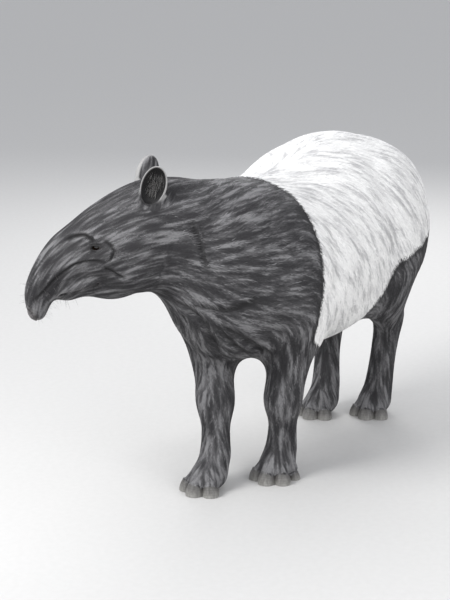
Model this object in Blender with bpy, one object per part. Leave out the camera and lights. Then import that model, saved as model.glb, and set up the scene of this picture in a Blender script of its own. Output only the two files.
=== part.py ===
"""An adult Malayan tapir standing in mid-step with its head turned to its right, life size.

The flesh is one smooth form, built up from swept tubes and ellipsoids like clay over a frame, and then
parted with thin straight cuts where a person would name its pieces. Metres, +Z up, floor at z = 0.
While the form is made, +X is the way the body faces and +Y is the animal's left. The last step moves the
whole animal so that the middle of its bounding box stands over the origin.
"""

import math

import bmesh
import bpy
import numpy as np
import openvdb
from mathutils import Matrix, Vector

# Driving dimensions.
WITHERS_HEIGHT = 0.965
CROUP_HEIGHT = 1.080
BELLY_CLEARANCE = 0.365
BARREL_HALF_WIDTH = 0.296
HEAD_YAW = math.radians(-50)
EYE_RADIUS = 0.0165
HOOF_WALL = 0.002
CUT_GAP = 0.0003

# Grid spacings for the clay: coarse on the trunk, fine where the detail is.
BODY_VOXEL = 0.009
HEAD_VOXEL = 0.0034
SMALL_VOXEL = 0.0026
FAR = 1.0

# Triangles of the whole body before it is parted, and of the head, an ear and the tail.
BODY_TRIANGLES = 5600
HEAD_TRIANGLES = 3300
EAR_TRIANGLES = 380
TAIL_TRIANGLES = 160

for leftover in list(bpy.data.objects):
    bpy.data.objects.remove(leftover, do_unlink=True)

tapir = bpy.data.collections.new("malayan_tapir")
cutters = bpy.data.collections.new("cutters")
for collection in (tapir, cutters):
    bpy.context.scene.collection.children.link(collection)
cutters.hide_render = True


# The clay: forms that know how far a point is from their surface, and a block of space that they fill.


class Ellipsoid:
    """An egg of clay. Its radii lie along the three columns of turn."""

    def __init__(self, centre, radii, turn=None):
        self.centre = np.array(centre, np.float32)
        self.radii = np.array(radii, np.float32)
        self.turn = np.eye(3, dtype=np.float32) if turn is None else np.array(turn, np.float32)
        reach = float(self.radii.max())
        self.low = self.centre - reach
        self.high = self.centre + reach

    def distance(self, points):
        local = (points - self.centre) @ self.turn
        near = np.linalg.norm(local / self.radii, axis=-1)
        slope = np.linalg.norm(local / self.radii**2, axis=-1)
        return near * (near - 1) / np.maximum(slope, 1e-6)


class Sweep:
    """A tube of clay along a smooth line. Each station is (point, half width, half height above, half height
    below); width runs along side, and height runs along the line's own upward normal."""

    STEPS = 5

    def __init__(self, stations, side):
        rows = np.array([[*p, w, up, down] for p, w, up, down in stations], np.float64)
        rows = smooth_rows(rows, self.STEPS)
        self.line = rows[:, :3]
        self.sizes = rows[:, 3:].astype(np.float32)
        along = np.gradient(self.line, axis=0)
        along /= np.linalg.norm(along, axis=1, keepdims=True)
        across = np.array(side, float) - along * (along @ np.array(side, float))[:, None]
        across /= np.linalg.norm(across, axis=1, keepdims=True)
        self.along = along
        self.across = across
        self.up = np.cross(along, across)
        reach = self.sizes.max(axis=1)[:, None]
        self.low = (self.line - reach).min(axis=0)
        self.high = (self.line + reach).max(axis=0)

    def distance(self, points):
        shape = points.shape[:-1]
        points = points.reshape(-1, 3)
        best = np.full(len(points), np.inf, np.float32)
        place = np.zeros(len(points), np.float32)
        line = self.line.astype(np.float32)
        for i in range(len(line) - 1):
            step = line[i + 1] - line[i]
            from_start = points - line[i]
            share = np.clip(from_start @ step / (step @ step), 0, 1)
            gap = ((from_start - share[:, None] * step) ** 2).sum(axis=1)
            closer = gap < best
            best[closer] = gap[closer]
            place[closer] = i + share[closer]
        start = np.minimum(place.astype(int), len(line) - 2)
        share = (place - start)[:, None]

        def between(rows):
            rows = rows.astype(np.float32)
            return rows[start] * (1 - share) + rows[start + 1] * share

        offset = points - between(self.line)
        size = between(self.sizes)
        wide = (offset * between(self.across)).sum(axis=1)
        high = (offset * between(self.up)).sum(axis=1)
        ahead = (offset * between(self.along)).sum(axis=1)
        half = np.where(high > 0, size[:, 1], size[:, 2])
        cap = np.minimum(size[:, 0], half)
        near = np.sqrt((wide / size[:, 0]) ** 2 + (high / half) ** 2 + (ahead / cap) ** 2)
        slope = np.sqrt(
            (wide / size[:, 0] ** 2) ** 2 + (high / half**2) ** 2 + (ahead / cap**2) ** 2
        )
        return (near * (near - 1) / np.maximum(slope, 1e-4)).reshape(shape)


def smooth_rows(rows, steps):
    """Rows of numbers with more rows between them, on a curve that passes through each."""
    padded = np.vstack([2 * rows[0] - rows[1], rows, 2 * rows[-1] - rows[-2]])
    made = []
    for i in range(1, len(padded) - 2):
        before, here, there, after = padded[i - 1 : i + 3]
        for t in np.arange(steps) / steps:
            made.append(
                here
                + 0.5 * t * (there - before)
                + t * t * (before - 2.5 * here + 2 * there - 0.5 * after)
                + t**3 * 0.5 * (3 * (here - there) + after - before)
            )
    made.append(rows[-1])
    return np.array(made)


class Clay:
    """A block of space on a grid that holds the distance to the surface of the clay in it."""

    def __init__(self, low, high, voxel):
        self.voxel = voxel
        self.low = np.array(low, float)
        count = np.ceil((np.array(high, float) - self.low) / voxel).astype(int)
        self.depth = np.full(count, FAR, np.float32)

    def window(self, form, margin):
        first = np.floor((form.low - margin - self.low) / self.voxel).astype(int)
        last = np.ceil((form.high + margin - self.low) / self.voxel).astype(int)
        first = np.clip(first, 0, self.depth.shape)
        last = np.clip(last, 0, self.depth.shape)
        if (last <= first).any():
            return None, None
        axes = [
            self.low[k] + self.voxel * np.arange(first[k], last[k]) for k in range(3)
        ]
        points = np.stack(np.meshgrid(*axes, indexing="ij"), axis=-1).astype(np.float32)
        return tuple(slice(a, b) for a, b in zip(first, last)), points

    def add(self, form, blend):
        """Presses a form on, with a fillet about blend wide where it meets the rest."""
        where, points = self.window(form, blend + 3 * self.voxel)
        if where is None:
            return
        there = self.depth[where]
        form_depth = form.distance(points)
        fillet = np.maximum(blend - np.abs(there - form_depth), 0) / blend
        self.depth[where] = np.minimum(there, form_depth) - fillet**2 * blend / 4

    def cut(self, form, blend):
        """Takes a form away, with its rim rounded over about blend."""
        where, points = self.window(form, blend + 3 * self.voxel)
        if where is None:
            return
        there = self.depth[where]
        form_depth = -form.distance(points)
        fillet = np.maximum(blend - np.abs(there - form_depth), 0) / blend
        self.depth[where] = np.maximum(there, form_depth) + fillet**2 * blend / 4

    def settle(self, passes):
        """Smooths the surface over, as a wet hand does."""
        reach = 6 * self.voxel
        np.clip(self.depth, -reach, reach, out=self.depth)
        for _ in range(passes):
            for axis in range(3):
                rows = np.moveaxis(self.depth, axis, 0)
                rows[1:-1] = (rows[:-2] + 2 * rows[1:-1] + rows[2:]) / 4

    def mesh(self, name):
        # A wall of empty space round the block closes whatever runs out of it.
        for axis in range(3):
            rows = np.moveaxis(self.depth, axis, 0)
            rows[0] = rows[-1] = FAR
        grid = openvdb.FloatGrid(FAR)
        grid.copyFromArray(self.depth)
        points, quads = grid.convertToQuads(0.0)
        points = points * self.voxel + self.low
        made = bpy.data.meshes.new(name)
        made.from_pydata(points.tolist(), [], quads.tolist())
        return made


def mirrored(point, side):
    return (point[0], side * point[1], point[2])


# The trunk: one long barrel, deepest behind the middle and highest over the croup. Its round ends are the
# rump and the breast.
TRUNK_STATIONS = (
    # x, z of the middle, half width, height above, depth below
    (-0.520, 0.775, 0.236, 0.262, 0.275),
    (-0.430, 0.765, 0.272, 0.307, 0.305),
    (-0.310, 0.745, 0.290, CROUP_HEIGHT - 0.745, 0.350),
    (-0.170, 0.718, BARREL_HALF_WIDTH, 0.343, 0.360),
    (-0.010, 0.700, 0.294, 0.308, 0.700 - BELLY_CLEARANCE),
    (0.150, 0.692, 0.277, 0.283, 0.312),
    (0.290, 0.700, 0.240, WITHERS_HEIGHT - 0.700, 0.275),
    (0.370, 0.715, 0.205, 0.246, 0.250),
)


def add_trunk(clay):
    stations = [((x, 0, z), w, up, down) for x, z, w, up, down in TRUNK_STATIONS]
    clay.add(Sweep(stations, side=(0, 1, 0)), 0.01)
    for side in (1, -1):
        # Shoulder blade and the muscle behind it.
        clay.add(Ellipsoid(mirrored((0.290, 0.130, 0.715), side), (0.135, 0.115, 0.220)), 0.10)
        # Haunch, from the hip down into the thigh.
        clay.add(Ellipsoid(mirrored((-0.450, 0.156, 0.760), side), (0.172, 0.122, 0.220)), 0.12)
        clay.add(Ellipsoid(mirrored((-0.510, 0.135, 0.640), side), (0.130, 0.105, 0.170)), 0.09)
    # Breast, between the forelegs.
    clay.add(Ellipsoid((0.400, 0.0, 0.600), (0.120, 0.140, 0.150)), 0.10)


# The neck: short and deep, bending to the animal's right.
NECK_STATIONS = (
    ((0.160, 0.010, 0.755), 0.200, 0.198, 0.250),
    ((0.300, 0.000, 0.790), 0.186, 0.194, 0.240),
    ((0.400, -0.022, 0.820), 0.164, 0.184, 0.212),
    ((0.480, -0.070, 0.845), 0.142, 0.176, 0.182),
    ((0.560, -0.150, 0.860), 0.126, 0.162, 0.168),
)


def add_neck(clay):
    clay.add(Sweep(NECK_STATIONS, side=(0.2, 1, 0)), 0.14)


# The head: its own frame has +X to the nose along the floor, +Y to its left and +Z up.
HEAD_FOOT = Vector((0.52, -0.10, 0.0))
HEAD_TURN = Matrix.Rotation(HEAD_YAW, 3, "Z")


def in_head(point, side=1):
    """A point of the head's own frame, in the animal's."""
    return HEAD_FOOT + HEAD_TURN @ Vector(mirrored(point, side))


def head_turn(dip):
    """Axes of a form on the head: dip is how far its own X points below the horizon, in degrees."""
    return HEAD_TURN @ Matrix.Rotation(math.radians(dip), 3, "Y")


SKULL_STATIONS = (
    # forward, height, half width, above, below: from the nape to the trunk's tip
    (0.020, 0.880, 0.118, 0.155, 0.175),
    (0.110, 0.872, 0.122, 0.158, 0.160),
    (0.200, 0.842, 0.112, 0.142, 0.150),
    (0.280, 0.806, 0.090, 0.122, 0.118),
    (0.348, 0.772, 0.069, 0.105, 0.090),
    (0.403, 0.730, 0.057, 0.077, 0.066),
    (0.440, 0.678, 0.049, 0.056, 0.048),
    (0.450, 0.620, 0.041, 0.037, 0.033),
)


def add_head(clay):
    stations = [(in_head((x, 0, z)), w, up, down) for x, z, w, up, down in SKULL_STATIONS]
    clay.add(Sweep(stations, side=HEAD_TURN @ Vector((0, 1, 0))), 0.06)
    for side in (1, -1):
        # Jaw muscle, cheekbone, and brow.
        slope = head_turn(36)
        clay.add(Ellipsoid(in_head((0.150, 0.075, 0.790), side), (0.095, 0.052, 0.100), slope), 0.05)
        clay.add(Ellipsoid(in_head((0.235, 0.078, 0.820), side), (0.070, 0.026, 0.030), slope), 0.04)
        clay.add(Ellipsoid(in_head((0.262, 0.066, 0.880), side), (0.050, 0.024, 0.024), slope), 0.04)
    # Lower jaw, chin and lip.
    clay.add(Ellipsoid(in_head((0.270, 0, 0.712)), (0.110, 0.052, 0.036), head_turn(18)), 0.03)
    clay.add(Ellipsoid(in_head((0.352, 0, 0.672)), (0.032, 0.034, 0.022), head_turn(10)), 0.02)
    # Angle of the jaw, low behind the mouth.
    clay.add(Ellipsoid(in_head((0.205, 0, 0.705)), (0.080, 0.066, 0.052), head_turn(5)), 0.04)
    # Upper lip, overhanging the mouth on each side.
    lip_line = ((0.405, 0.026, 0.690), (0.365, 0.040, 0.706), (0.320, 0.050, 0.716), (0.275, 0.058, 0.730))
    for side in (1, -1):
        lip = [(in_head(place, side), 0.016, 0.018, 0.014) for place in lip_line]
        clay.add(Sweep(lip, side=HEAD_TURN @ Vector((0, 1, 0))), 0.02)
    # Line of the mouth.
    mouth = (
        (0.388, 0, 0.678),
        (0.378, 0.034, 0.684),
        (0.335, 0.052, 0.692),
        (0.290, 0.064, 0.706),
        (0.262, 0.072, 0.722),
    )
    for side in (1, -1):
        gape = [(in_head(place, side), 0.007, 0.0035, 0.0035) for place in mouth]
        clay.cut(Sweep(gape, side=HEAD_TURN @ Vector((0, 1, 0))), 0.004)
    # Nostrils, at the front of the trunk's tip.
    for side in (1, -1):
        slant = head_turn(30) @ Matrix.Rotation(math.radians(side * 25), 3, "Z")
        clay.cut(Ellipsoid(in_head((0.478, 0.019, 0.622), side), (0.014, 0.008, 0.013), slant), 0.006)


# The eyes: small balls, deep under a heavy upper lid.
EYE_PLACE = (0.262, 0.0745, 0.846)
EYE_GAZE = (0.30, 0.95, -0.04)


def add_lids(clay):
    """Eyelids: a ball of flesh a little larger than the eye, with a low opening in front of it."""
    for side in (1, -1):
        centre = in_head(EYE_PLACE, side)
        gaze = HEAD_TURN @ Vector(mirrored(EYE_GAZE, side)).normalized()
        clay.add(Ellipsoid(centre, (EYE_RADIUS + 0.0045,) * 3), 0.012)
        turn = Matrix((gaze, Vector((0, 0, 1)).cross(gaze).normalized(), (0, 0, 1))).transposed()
        opening = Ellipsoid(centre + gaze * EYE_RADIUS, (0.012, 0.0145, 0.0078), turn)
        clay.cut(opening, 0.003)


# Ears: leaf-shaped cups that stand up and face outward and a little forward. Each rises from a mound.
EAR_FOOT = (0.105, 0.070, 0.960)
EAR_TIP = (0.066, 0.112, 1.104)
EAR_RADII = (0.028, 0.044, 0.072)


def ear_frame(side):
    """Centre and axes of an ear: X is the way the cup faces, Z runs from foot to tip."""
    foot, tip = (in_head(p, side) for p in (EAR_FOOT, EAR_TIP))
    up = (tip - foot).normalized()
    face = HEAD_TURN @ Vector((0.42, side * 0.90, 0.0))
    face = (face - up * face.dot(up)).normalized()
    turn = Matrix((face, up.cross(face), up)).transposed()
    return (foot + tip) / 2, turn


def add_ear_mound(clay, side):
    turn = ear_frame(side)[1]
    root = in_head(EAR_FOOT, side) + turn @ Vector((-0.004, 0, 0.006))
    clay.add(Ellipsoid(root, (0.034, 0.038, 0.044), turn), 0.03)


def add_ear(clay, side):
    centre, turn = ear_frame(side)
    clay.add(Ellipsoid(centre, EAR_RADII, turn), 0.01)
    cup = (0.033, EAR_RADII[1] - 0.006, EAR_RADII[2] - 0.009)
    clay.cut(Ellipsoid(centre + turn @ Vector((0.014, 0, 0.009)), cup, turn), 0.005)


# Legs: each hangs from the trunk, through its joints, to a foot that stands flat.
def leg_tube(points, sizes):
    return Sweep([(p, *s) for p, s in zip(points, sizes)], side=(0, 1, 0))


def add_foreleg(clay, side, shoulder, elbow, wrist, fetlock):
    forearm = Vector(elbow).lerp(Vector(wrist), 0.45)
    cannon = Vector(wrist).lerp(Vector(fetlock), 0.5)
    joints = (shoulder, elbow, forearm, wrist, cannon, fetlock)
    sizes = (
        # half width, half depth to the front, half depth to the rear
        (0.090, 0.115, 0.125),
        (0.080, 0.090, 0.106),
        (0.074, 0.073, 0.078),
        (0.057, 0.059, 0.057),
        (0.050, 0.050, 0.050),
        (0.055, 0.055, 0.050),
    )
    clay.add(leg_tube(joints, sizes), 0.08)
    # Point of the elbow and the back of the upper arm.
    point = Vector(elbow) + Vector((-0.055, 0, 0.045))
    clay.add(Ellipsoid(point, (0.055, 0.058, 0.095)), 0.07)
    # Wrist bones.
    clay.add(Ellipsoid(Vector(wrist) + Vector((0.010, 0, 0)), (0.052, 0.055, 0.060)), 0.05)


def add_hindleg(clay, side, hip, stifle, hock, fetlock):
    shank = Vector(stifle).lerp(Vector(hock), 0.55)
    cannon = Vector(hock).lerp(Vector(fetlock), 0.5)
    joints = (hip, stifle, shank, hock, cannon, fetlock)
    sizes = (
        (0.115, 0.190, 0.190),
        (0.100, 0.125, 0.172),
        (0.077, 0.086, 0.106),
        (0.055, 0.062, 0.062),
        (0.049, 0.053, 0.051),
        (0.054, 0.054, 0.050),
    )
    clay.add(leg_tube(joints, sizes), 0.09)
    # Point of the hock.
    heel = Vector(hock) + Vector((-0.034, 0, 0.028))
    clay.add(Ellipsoid(heel, (0.026, 0.030, 0.045)), 0.05)
    # Kneecap, and the fold of skin that runs from it to the belly.
    knee = Vector(stifle) + Vector((0.070, side * 0.010, 0.010))
    clay.add(Ellipsoid(knee, (0.060, 0.065, 0.080)), 0.06)
    fold = [
        (knee + Vector((0, 0, 0.03)), 0.035, 0.04, 0.05),
        (knee + Vector((0.12, side * 0.02, -0.02)), 0.022, 0.03, 0.04),
        (knee + Vector((0.24, 0, -0.06)), 0.016, 0.02, 0.02),
    ]
    clay.add(Sweep(fold, side=(0, 1, 0)), 0.08)


TOE_RADII = (0.046, 0.025, 0.030)
TOE_DIP = math.radians(26)
# Fan in degrees from straight ahead, outward positive; distance from the middle of the foot; height; size.
MAIN_TOES = ((-38, 0.060, 0.029, 1.0), (0, 0.067, 0.030, 1.06), (38, 0.060, 0.029, 1.0))
OUTER_TOE = ((88, 0.050, 0.042, 0.70),)

LEGS = {
    "foreleg_left": dict(
        side=1,
        toes=MAIN_TOES + OUTER_TOE,
        yaw=math.radians(2),
        joints=(
            (0.285, 0.150, 0.700),
            (0.225, 0.158, 0.500),
            (0.256, 0.145, 0.275),
            (0.240, 0.130, 0.105),
        ),
        foot=(0.256, 0.126, 0.044),
    ),
    "foreleg_right": dict(
        side=-1,
        toes=MAIN_TOES + OUTER_TOE,
        yaw=math.radians(-6),
        joints=(
            (0.320, -0.145, 0.700),
            (0.306, -0.112, 0.500),
            (0.390, -0.037, 0.280),
            (0.436, -0.010, 0.105),
        ),
        foot=(0.468, -0.012, 0.044),
    ),
    "hindleg_left": dict(
        side=1,
        toes=MAIN_TOES,
        yaw=math.radians(3),
        joints=(
            (-0.470, 0.140, 0.740),
            (-0.400, 0.168, 0.550),
            (-0.560, 0.130, 0.345),
            (-0.536, 0.112, 0.105),
        ),
        foot=(-0.516, 0.108, 0.044),
    ),
    "hindleg_right": dict(
        side=-1,
        toes=MAIN_TOES,
        yaw=math.radians(-4),
        joints=(
            (-0.470, -0.140, 0.740),
            (-0.340, -0.150, 0.550),
            (-0.500, -0.084, 0.345),
            (-0.442, -0.062, 0.105),
        ),
        foot=(-0.412, -0.060, 0.044),
    ),
}


def toes_of(leg):
    """Centre, axes and size of each toe: X runs along the toe and dips to its tip."""
    for fan, reach, height, size in leg["toes"]:
        heading = Matrix.Rotation(leg["yaw"] + leg["side"] * math.radians(fan), 3, "Z")
        centre = Vector(leg["foot"]) + heading @ Vector((reach, 0, 0))
        centre.z = height
        yield centre, heading @ Matrix.Rotation(TOE_DIP, 3, "Y"), size


def add_foot(clay, leg):
    """A soft pad with toes that fan out from it."""
    turn = Matrix.Rotation(leg["yaw"], 3, "Z")
    pad = Vector(leg["foot"]) + turn @ Vector((0.010, 0, 0))
    clay.add(Ellipsoid(pad, (0.073, 0.064, 0.052), turn), 0.04)
    for centre, axes, size in toes_of(leg):
        radii = [size * radius for radius in TOE_RADII]
        clay.add(Ellipsoid(centre, radii, axes), 0.018)


def add_legs(clay):
    for name, leg in LEGS.items():
        make = add_foreleg if name.startswith("fore") else add_hindleg
        make(clay, leg["side"], *leg["joints"])
        add_foot(clay, leg)


# The tail: a short stump that points down close to the rump.
TAIL_STATIONS = (
    ((-0.656, 0, 0.925), 0.034, 0.036, 0.036),
    ((-0.726, 0, 0.895), 0.029, 0.030, 0.030),
    ((-0.776, 0, 0.848), 0.023, 0.022, 0.022),
    ((-0.794, 0, 0.806), 0.015, 0.014, 0.014),
)


def add_flesh(clay):
    add_trunk(clay)
    add_legs(clay)
    add_neck(clay)
    add_head(clay)
    for side in (1, -1):
        add_ear_mound(clay, side)


# Parting the flesh: a cut is a point and the way out of the piece, which keeps clear of it by half the gap.
def carve(name, source, cuts, near):
    """The body of source that lies inside every cut and comes nearest to a point, as a new closed mesh."""
    bm = bmesh.new()
    bm.from_mesh(source)
    for point, outward in cuts:
        outward = Vector(outward).normalized()
        bmesh.ops.bisect_plane(
            bm,
            geom=bm.verts[:] + bm.edges[:] + bm.faces[:],
            dist=1e-6,
            plane_co=Vector(point) - outward * CUT_GAP / 2,
            plane_no=outward,
            clear_outer=True,
        )
        rim = [edge for edge in bm.edges if edge.is_boundary]
        bmesh.ops.holes_fill(bm, edges=rim, sides=0)
    keep = nearest_body(bm, Vector(near))
    strays = [face for face in bm.faces if face not in keep]
    bmesh.ops.delete(bm, geom=strays, context="FACES")
    bmesh.ops.recalc_face_normals(bm, faces=bm.faces[:])
    bmesh.ops.triangulate(bm, faces=bm.faces[:])
    made = bpy.data.meshes.new(name)
    bm.to_mesh(made)
    bm.free()
    return made


def nearest_body(bm, near):
    """The faces of the connected body that comes nearest to a point."""
    left = set(bm.faces)
    found = []
    while left:
        body = set()
        edge_of_search = [left.pop()]
        while edge_of_search:
            face = edge_of_search.pop()
            body.add(face)
            for edge in face.edges:
                for other in edge.link_faces:
                    if other in left:
                        left.remove(other)
                        edge_of_search.append(other)
        reach = min((vert.co - near).length for face in body for vert in face.verts)
        found.append((reach, len(found), body))
    return min(found)[2]


def thinned(mesh, triangles):
    """The mesh with about this many triangles, most of them where it bends most."""
    holder = bpy.data.objects.new(mesh.name, mesh)
    bpy.context.scene.collection.objects.link(holder)
    collapse = holder.modifiers.new("Decimate", "DECIMATE")
    mesh.calc_loop_triangles()
    collapse.ratio = triangles / len(mesh.loop_triangles)
    graph = bpy.context.evaluated_depsgraph_get()
    made = bpy.data.meshes.new_from_object(holder.evaluated_get(graph))
    bpy.data.objects.remove(holder)
    return made


def place(name, mesh, colour, roughness):
    """A mesh as a piece of the animal, with its own material."""
    material = bpy.data.materials.new(name)
    material.use_nodes = True
    shader = material.node_tree.nodes["Principled BSDF"]
    shader.inputs["Base Color"].default_value = (*colour, 1)
    shader.inputs["Roughness"].default_value = roughness
    mesh.materials.clear()
    mesh.materials.append(material)
    mesh.shade_smooth()
    mesh.set_sharp_from_angle(angle=math.radians(50))
    piece = bpy.data.objects.new(name, mesh)
    tapir.objects.link(piece)
    return piece


def cut_from(piece, name, mesh):
    """Takes a shape out of a piece."""
    cutter = bpy.data.objects.new(name, mesh)
    cutter.hide_render = True
    cutter.display_type = "WIRE"
    cutters.objects.link(cutter)
    boolean = piece.modifiers.new(name, "BOOLEAN")
    boolean.operation = "DIFFERENCE"
    boolean.object = cutter


def swollen(mesh, amount):
    """The mesh with its surface moved out by this much."""
    normals = [vertex.normal.copy() for vertex in mesh.vertices]
    for vertex, normal in zip(mesh.vertices, normals):
        vertex.co += normal * amount
    return mesh


# Linear colours of the coat, the horn of the hooves and the eyes.
BLACK_COAT = (0.040, 0.038, 0.041)
WHITE_COAT = (0.640, 0.630, 0.610)
GREY_HORN = (0.260, 0.250, 0.235)
DARK_EYE = (0.010, 0.008, 0.007)
COAT_ROUGHNESS = 0.8
HORN_ROUGHNESS = 0.5
EYE_ROUGHNESS = 0.15


# Where the pieces part. The occiput cut stands across the head's own line.
NAPE_FORWARD = 0.045
NAPE = in_head((NAPE_FORWARD, 0, 0.85))
TO_NOSE = HEAD_TURN @ Vector((1, 0, 0))
COLLAR = (Vector((0.430, 0, 0.80)), Vector((0.90, -0.10, 0.42)))
SADDLE_FRONT = (Vector((0.235, 0, 0.80)), Vector((1, 0, -0.12)))
SADDLE_REAR = (Vector((-0.410, 0, 0.80)), Vector((-1, 0, 0)))
# The flank runs up and back along the front of the thigh, and the hip line on from it to the buttock.
FLANK = (Vector((-0.410, 0, 0.675)), Vector((-1.5, 0, -1)))
HIP_LINE = (Vector((-0.410, 0, 0.675)), Vector((-0.22, 0, -1)))
FLOOR = (Vector((0, 0, -CUT_GAP / 2)), Vector((0, 0, -1)))
WRIST_HEIGHT = 0.270
HOCK_HEIGHT = 0.300
FETLOCK_HEIGHT = 0.105


def armpit(side):
    """The cut under the shoulder, from the breastbone up to the outside of the foreleg."""
    return Vector((0.25, 0, 0.335)), Vector((-0.10, -0.62 * side, 1.0))


def level(height, outward):
    return Vector((0, 0, height)), Vector((0, 0, outward))


def turned(cut):
    """The same cut, from its other side."""
    return cut[0], -cut[1]


body_clay = Clay((-0.80, -0.50, -0.03), (0.90, 0.40, 1.14), BODY_VOXEL)
add_flesh(body_clay)
body_clay.settle(5)
short_of_face = (in_head((NAPE_FORWARD + 0.08, 0, 0.85)), TO_NOSE)
body = carve("body", body_clay.mesh("body"), [FLOOR, short_of_face], (0, 0, 0.4))
body = thinned(body, BODY_TRIANGLES)

armpits = [armpit(1), armpit(-1)]
above_armpits = [turned(cut) for cut in armpits]
midriff = [turned(SADDLE_FRONT), turned(SADDLE_REAR)]

neck = carve("neck", body, [(NAPE, TO_NOSE), turned(COLLAR)], (0.5, -0.08, 0.86))
place("neck", neck, BLACK_COAT, COAT_ROUGHNESS)
shoulder_cuts = [COLLAR, (NAPE, TO_NOSE), turned(SADDLE_FRONT), *above_armpits]
shoulders = carve("shoulders", body, shoulder_cuts, (0.3, 0, 0.98))
place("shoulders", shoulders, BLACK_COAT, COAT_ROUGHNESS)
barrel = carve("barrel", body, [SADDLE_FRONT, SADDLE_REAR, FLANK, *above_armpits], (-0.1, 0, 1.08))
place("barrel", barrel, WHITE_COAT, COAT_ROUGHNESS)
rump = carve("rump", body, [turned(SADDLE_REAR), HIP_LINE], (-0.5, 0, 1.08))
place("rump", rump, WHITE_COAT, COAT_ROUGHNESS)

for name, leg in LEGS.items():
    side = leg["side"]
    shoulder, elbow, wrist, fetlock = (Vector(joint) for joint in leg["joints"])
    if name.startswith("fore"):
        knee_height = WRIST_HEIGHT
        pieces = {"forearm": ([armpit(side), level(WRIST_HEIGHT, -1)], elbow.lerp(wrist, 0.5))}
    else:
        knee_height = HOCK_HEIGHT
        middle = elbow.lerp(wrist, 0.5)
        above_shank = (middle, Vector((wrist.x - elbow.x, 0, wrist.z - elbow.z)))
        inner = (Vector((0, 0, 0)), Vector((0, -side, 0)))
        pieces = {
            "thigh": ([turned(FLANK), turned(HIP_LINE), above_shank, inner], elbow),
            "shank": ([turned(above_shank), level(HOCK_HEIGHT, -1), turned(HIP_LINE), inner], wrist),
        }
    pieces["cannon"] = (
        [level(knee_height, 1), level(FETLOCK_HEIGHT, -1)],
        wrist.lerp(fetlock, 0.5),
    )
    for part_name, (cuts, near) in pieces.items():
        full_name = f"{name}_{part_name}"
        place(full_name, carve(full_name, body, cuts, near), BLACK_COAT, COAT_ROUGHNESS)


# Feet, with a hoof over the front of each toe.
HOOF_BACK = 0.016


def hoof(name, centre, axes, size, margin):
    """The front of a toe with a wall of horn round it. A margin makes it that much larger all over."""
    bm = bmesh.new()
    bmesh.ops.create_uvsphere(bm, u_segments=12, v_segments=8, radius=1)
    radii = [radius * size + HOOF_WALL + margin for radius in TOE_RADII]
    bmesh.ops.scale(bm, vec=radii, verts=bm.verts)
    whole = bpy.data.meshes.new(name)
    bm.to_mesh(whole)
    bm.free()
    whole.transform(Matrix.Translation(centre) @ axes.to_4x4())
    back = (centre + axes @ Vector((HOOF_BACK * size - margin, 0, 0)), axes @ Vector((-1, 0, 0)))
    cuts = [back] if margin else [back, FLOOR]
    return carve(name, whole, cuts, centre)


for name, leg in LEGS.items():
    foot = carve(f"{name}_foot", body, [level(FETLOCK_HEIGHT, 1)], leg["foot"])
    foot = place(f"{name}_foot", foot, BLACK_COAT, COAT_ROUGHNESS)
    for number, (centre, axes, size) in enumerate(toes_of(leg), start=1):
        hoof_name = f"{name}_hoof_{number}"
        place(hoof_name, hoof(hoof_name, centre, axes, size, 0), GREY_HORN, HORN_ROUGHNESS)
        cut_from(foot, hoof_name + "_room", hoof(hoof_name + "_room", centre, axes, size, CUT_GAP))


# The head, finer than the body, with its eyes in their sockets.
head_clay = Clay((0.43, -0.50, 0.57), (0.90, 0.02, 1.06), HEAD_VOXEL)
add_flesh(head_clay)
add_lids(head_clay)
head_clay.settle(1)
head = carve("head", head_clay.mesh("head"), [(NAPE - TO_NOSE * 0.01, -TO_NOSE)], in_head((0.2, 0, 0.85)))
head = thinned(head, HEAD_TRIANGLES)
head = carve("head", head, [(NAPE, -TO_NOSE)], in_head((0.2, 0, 0.85)))


def ball(name, centre, radius):
    bm = bmesh.new()
    bmesh.ops.create_uvsphere(bm, u_segments=16, v_segments=10, radius=radius)
    bmesh.ops.translate(bm, vec=centre, verts=bm.verts)
    made = bpy.data.meshes.new(name)
    bm.to_mesh(made)
    bm.free()
    return made


def bed_under(name, flesh, centre, reach):
    """The flesh within a box about a point, a little swollen: what a piece that grows from it stands on."""
    centre = Vector(centre)
    cuts = []
    for axis in range(3):
        for way in (1, -1):
            outward = Vector((0, 0, 0))
            outward[axis] = way
            cuts.append((centre + outward * reach, outward))
    return swollen(carve(name, flesh, cuts, centre), CUT_GAP)


ears = {}
for word, side in (("left", 1), ("right", -1)):
    centre = ear_frame(side)[0]
    ear_clay = Clay(centre - Vector((0.09,) * 3), centre + Vector((0.09,) * 3), SMALL_VOXEL)
    add_ear(ear_clay, side)
    ear_clay.settle(1)
    ear = thinned(ear_clay.mesh(f"ear_{word}"), EAR_TRIANGLES)
    ear = place(f"ear_{word}", ear, BLACK_COAT, COAT_ROUGHNESS)
    cut_from(ear, f"ear_bed_{word}", bed_under(f"ear_bed_{word}", head, in_head(EAR_FOOT, side), 0.11))

head = place("head", head, BLACK_COAT, COAT_ROUGHNESS)
for word, side in (("left", 1), ("right", -1)):
    centre = in_head(EYE_PLACE, side)
    place(f"eye_{word}", ball(f"eye_{word}", centre, EYE_RADIUS), DARK_EYE, EYE_ROUGHNESS)
    cut_from(head, f"eye_socket_{word}", ball(f"eye_socket_{word}", centre, EYE_RADIUS + CUT_GAP))

# The tail stands on the rump.
tail_clay = Clay((-0.84, -0.06, 0.76), (-0.61, 0.06, 0.98), SMALL_VOXEL)
tail_clay.add(Sweep(TAIL_STATIONS, side=(0, 1, 0)), 0.01)
tail = place("tail", thinned(tail_clay.mesh("tail"), TAIL_TRIANGLES), WHITE_COAT, COAT_ROUGHNESS)
cut_from(tail, "tail_bed", bed_under("tail_bed", rump, TAIL_STATIONS[0][0], 0.15))

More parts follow.
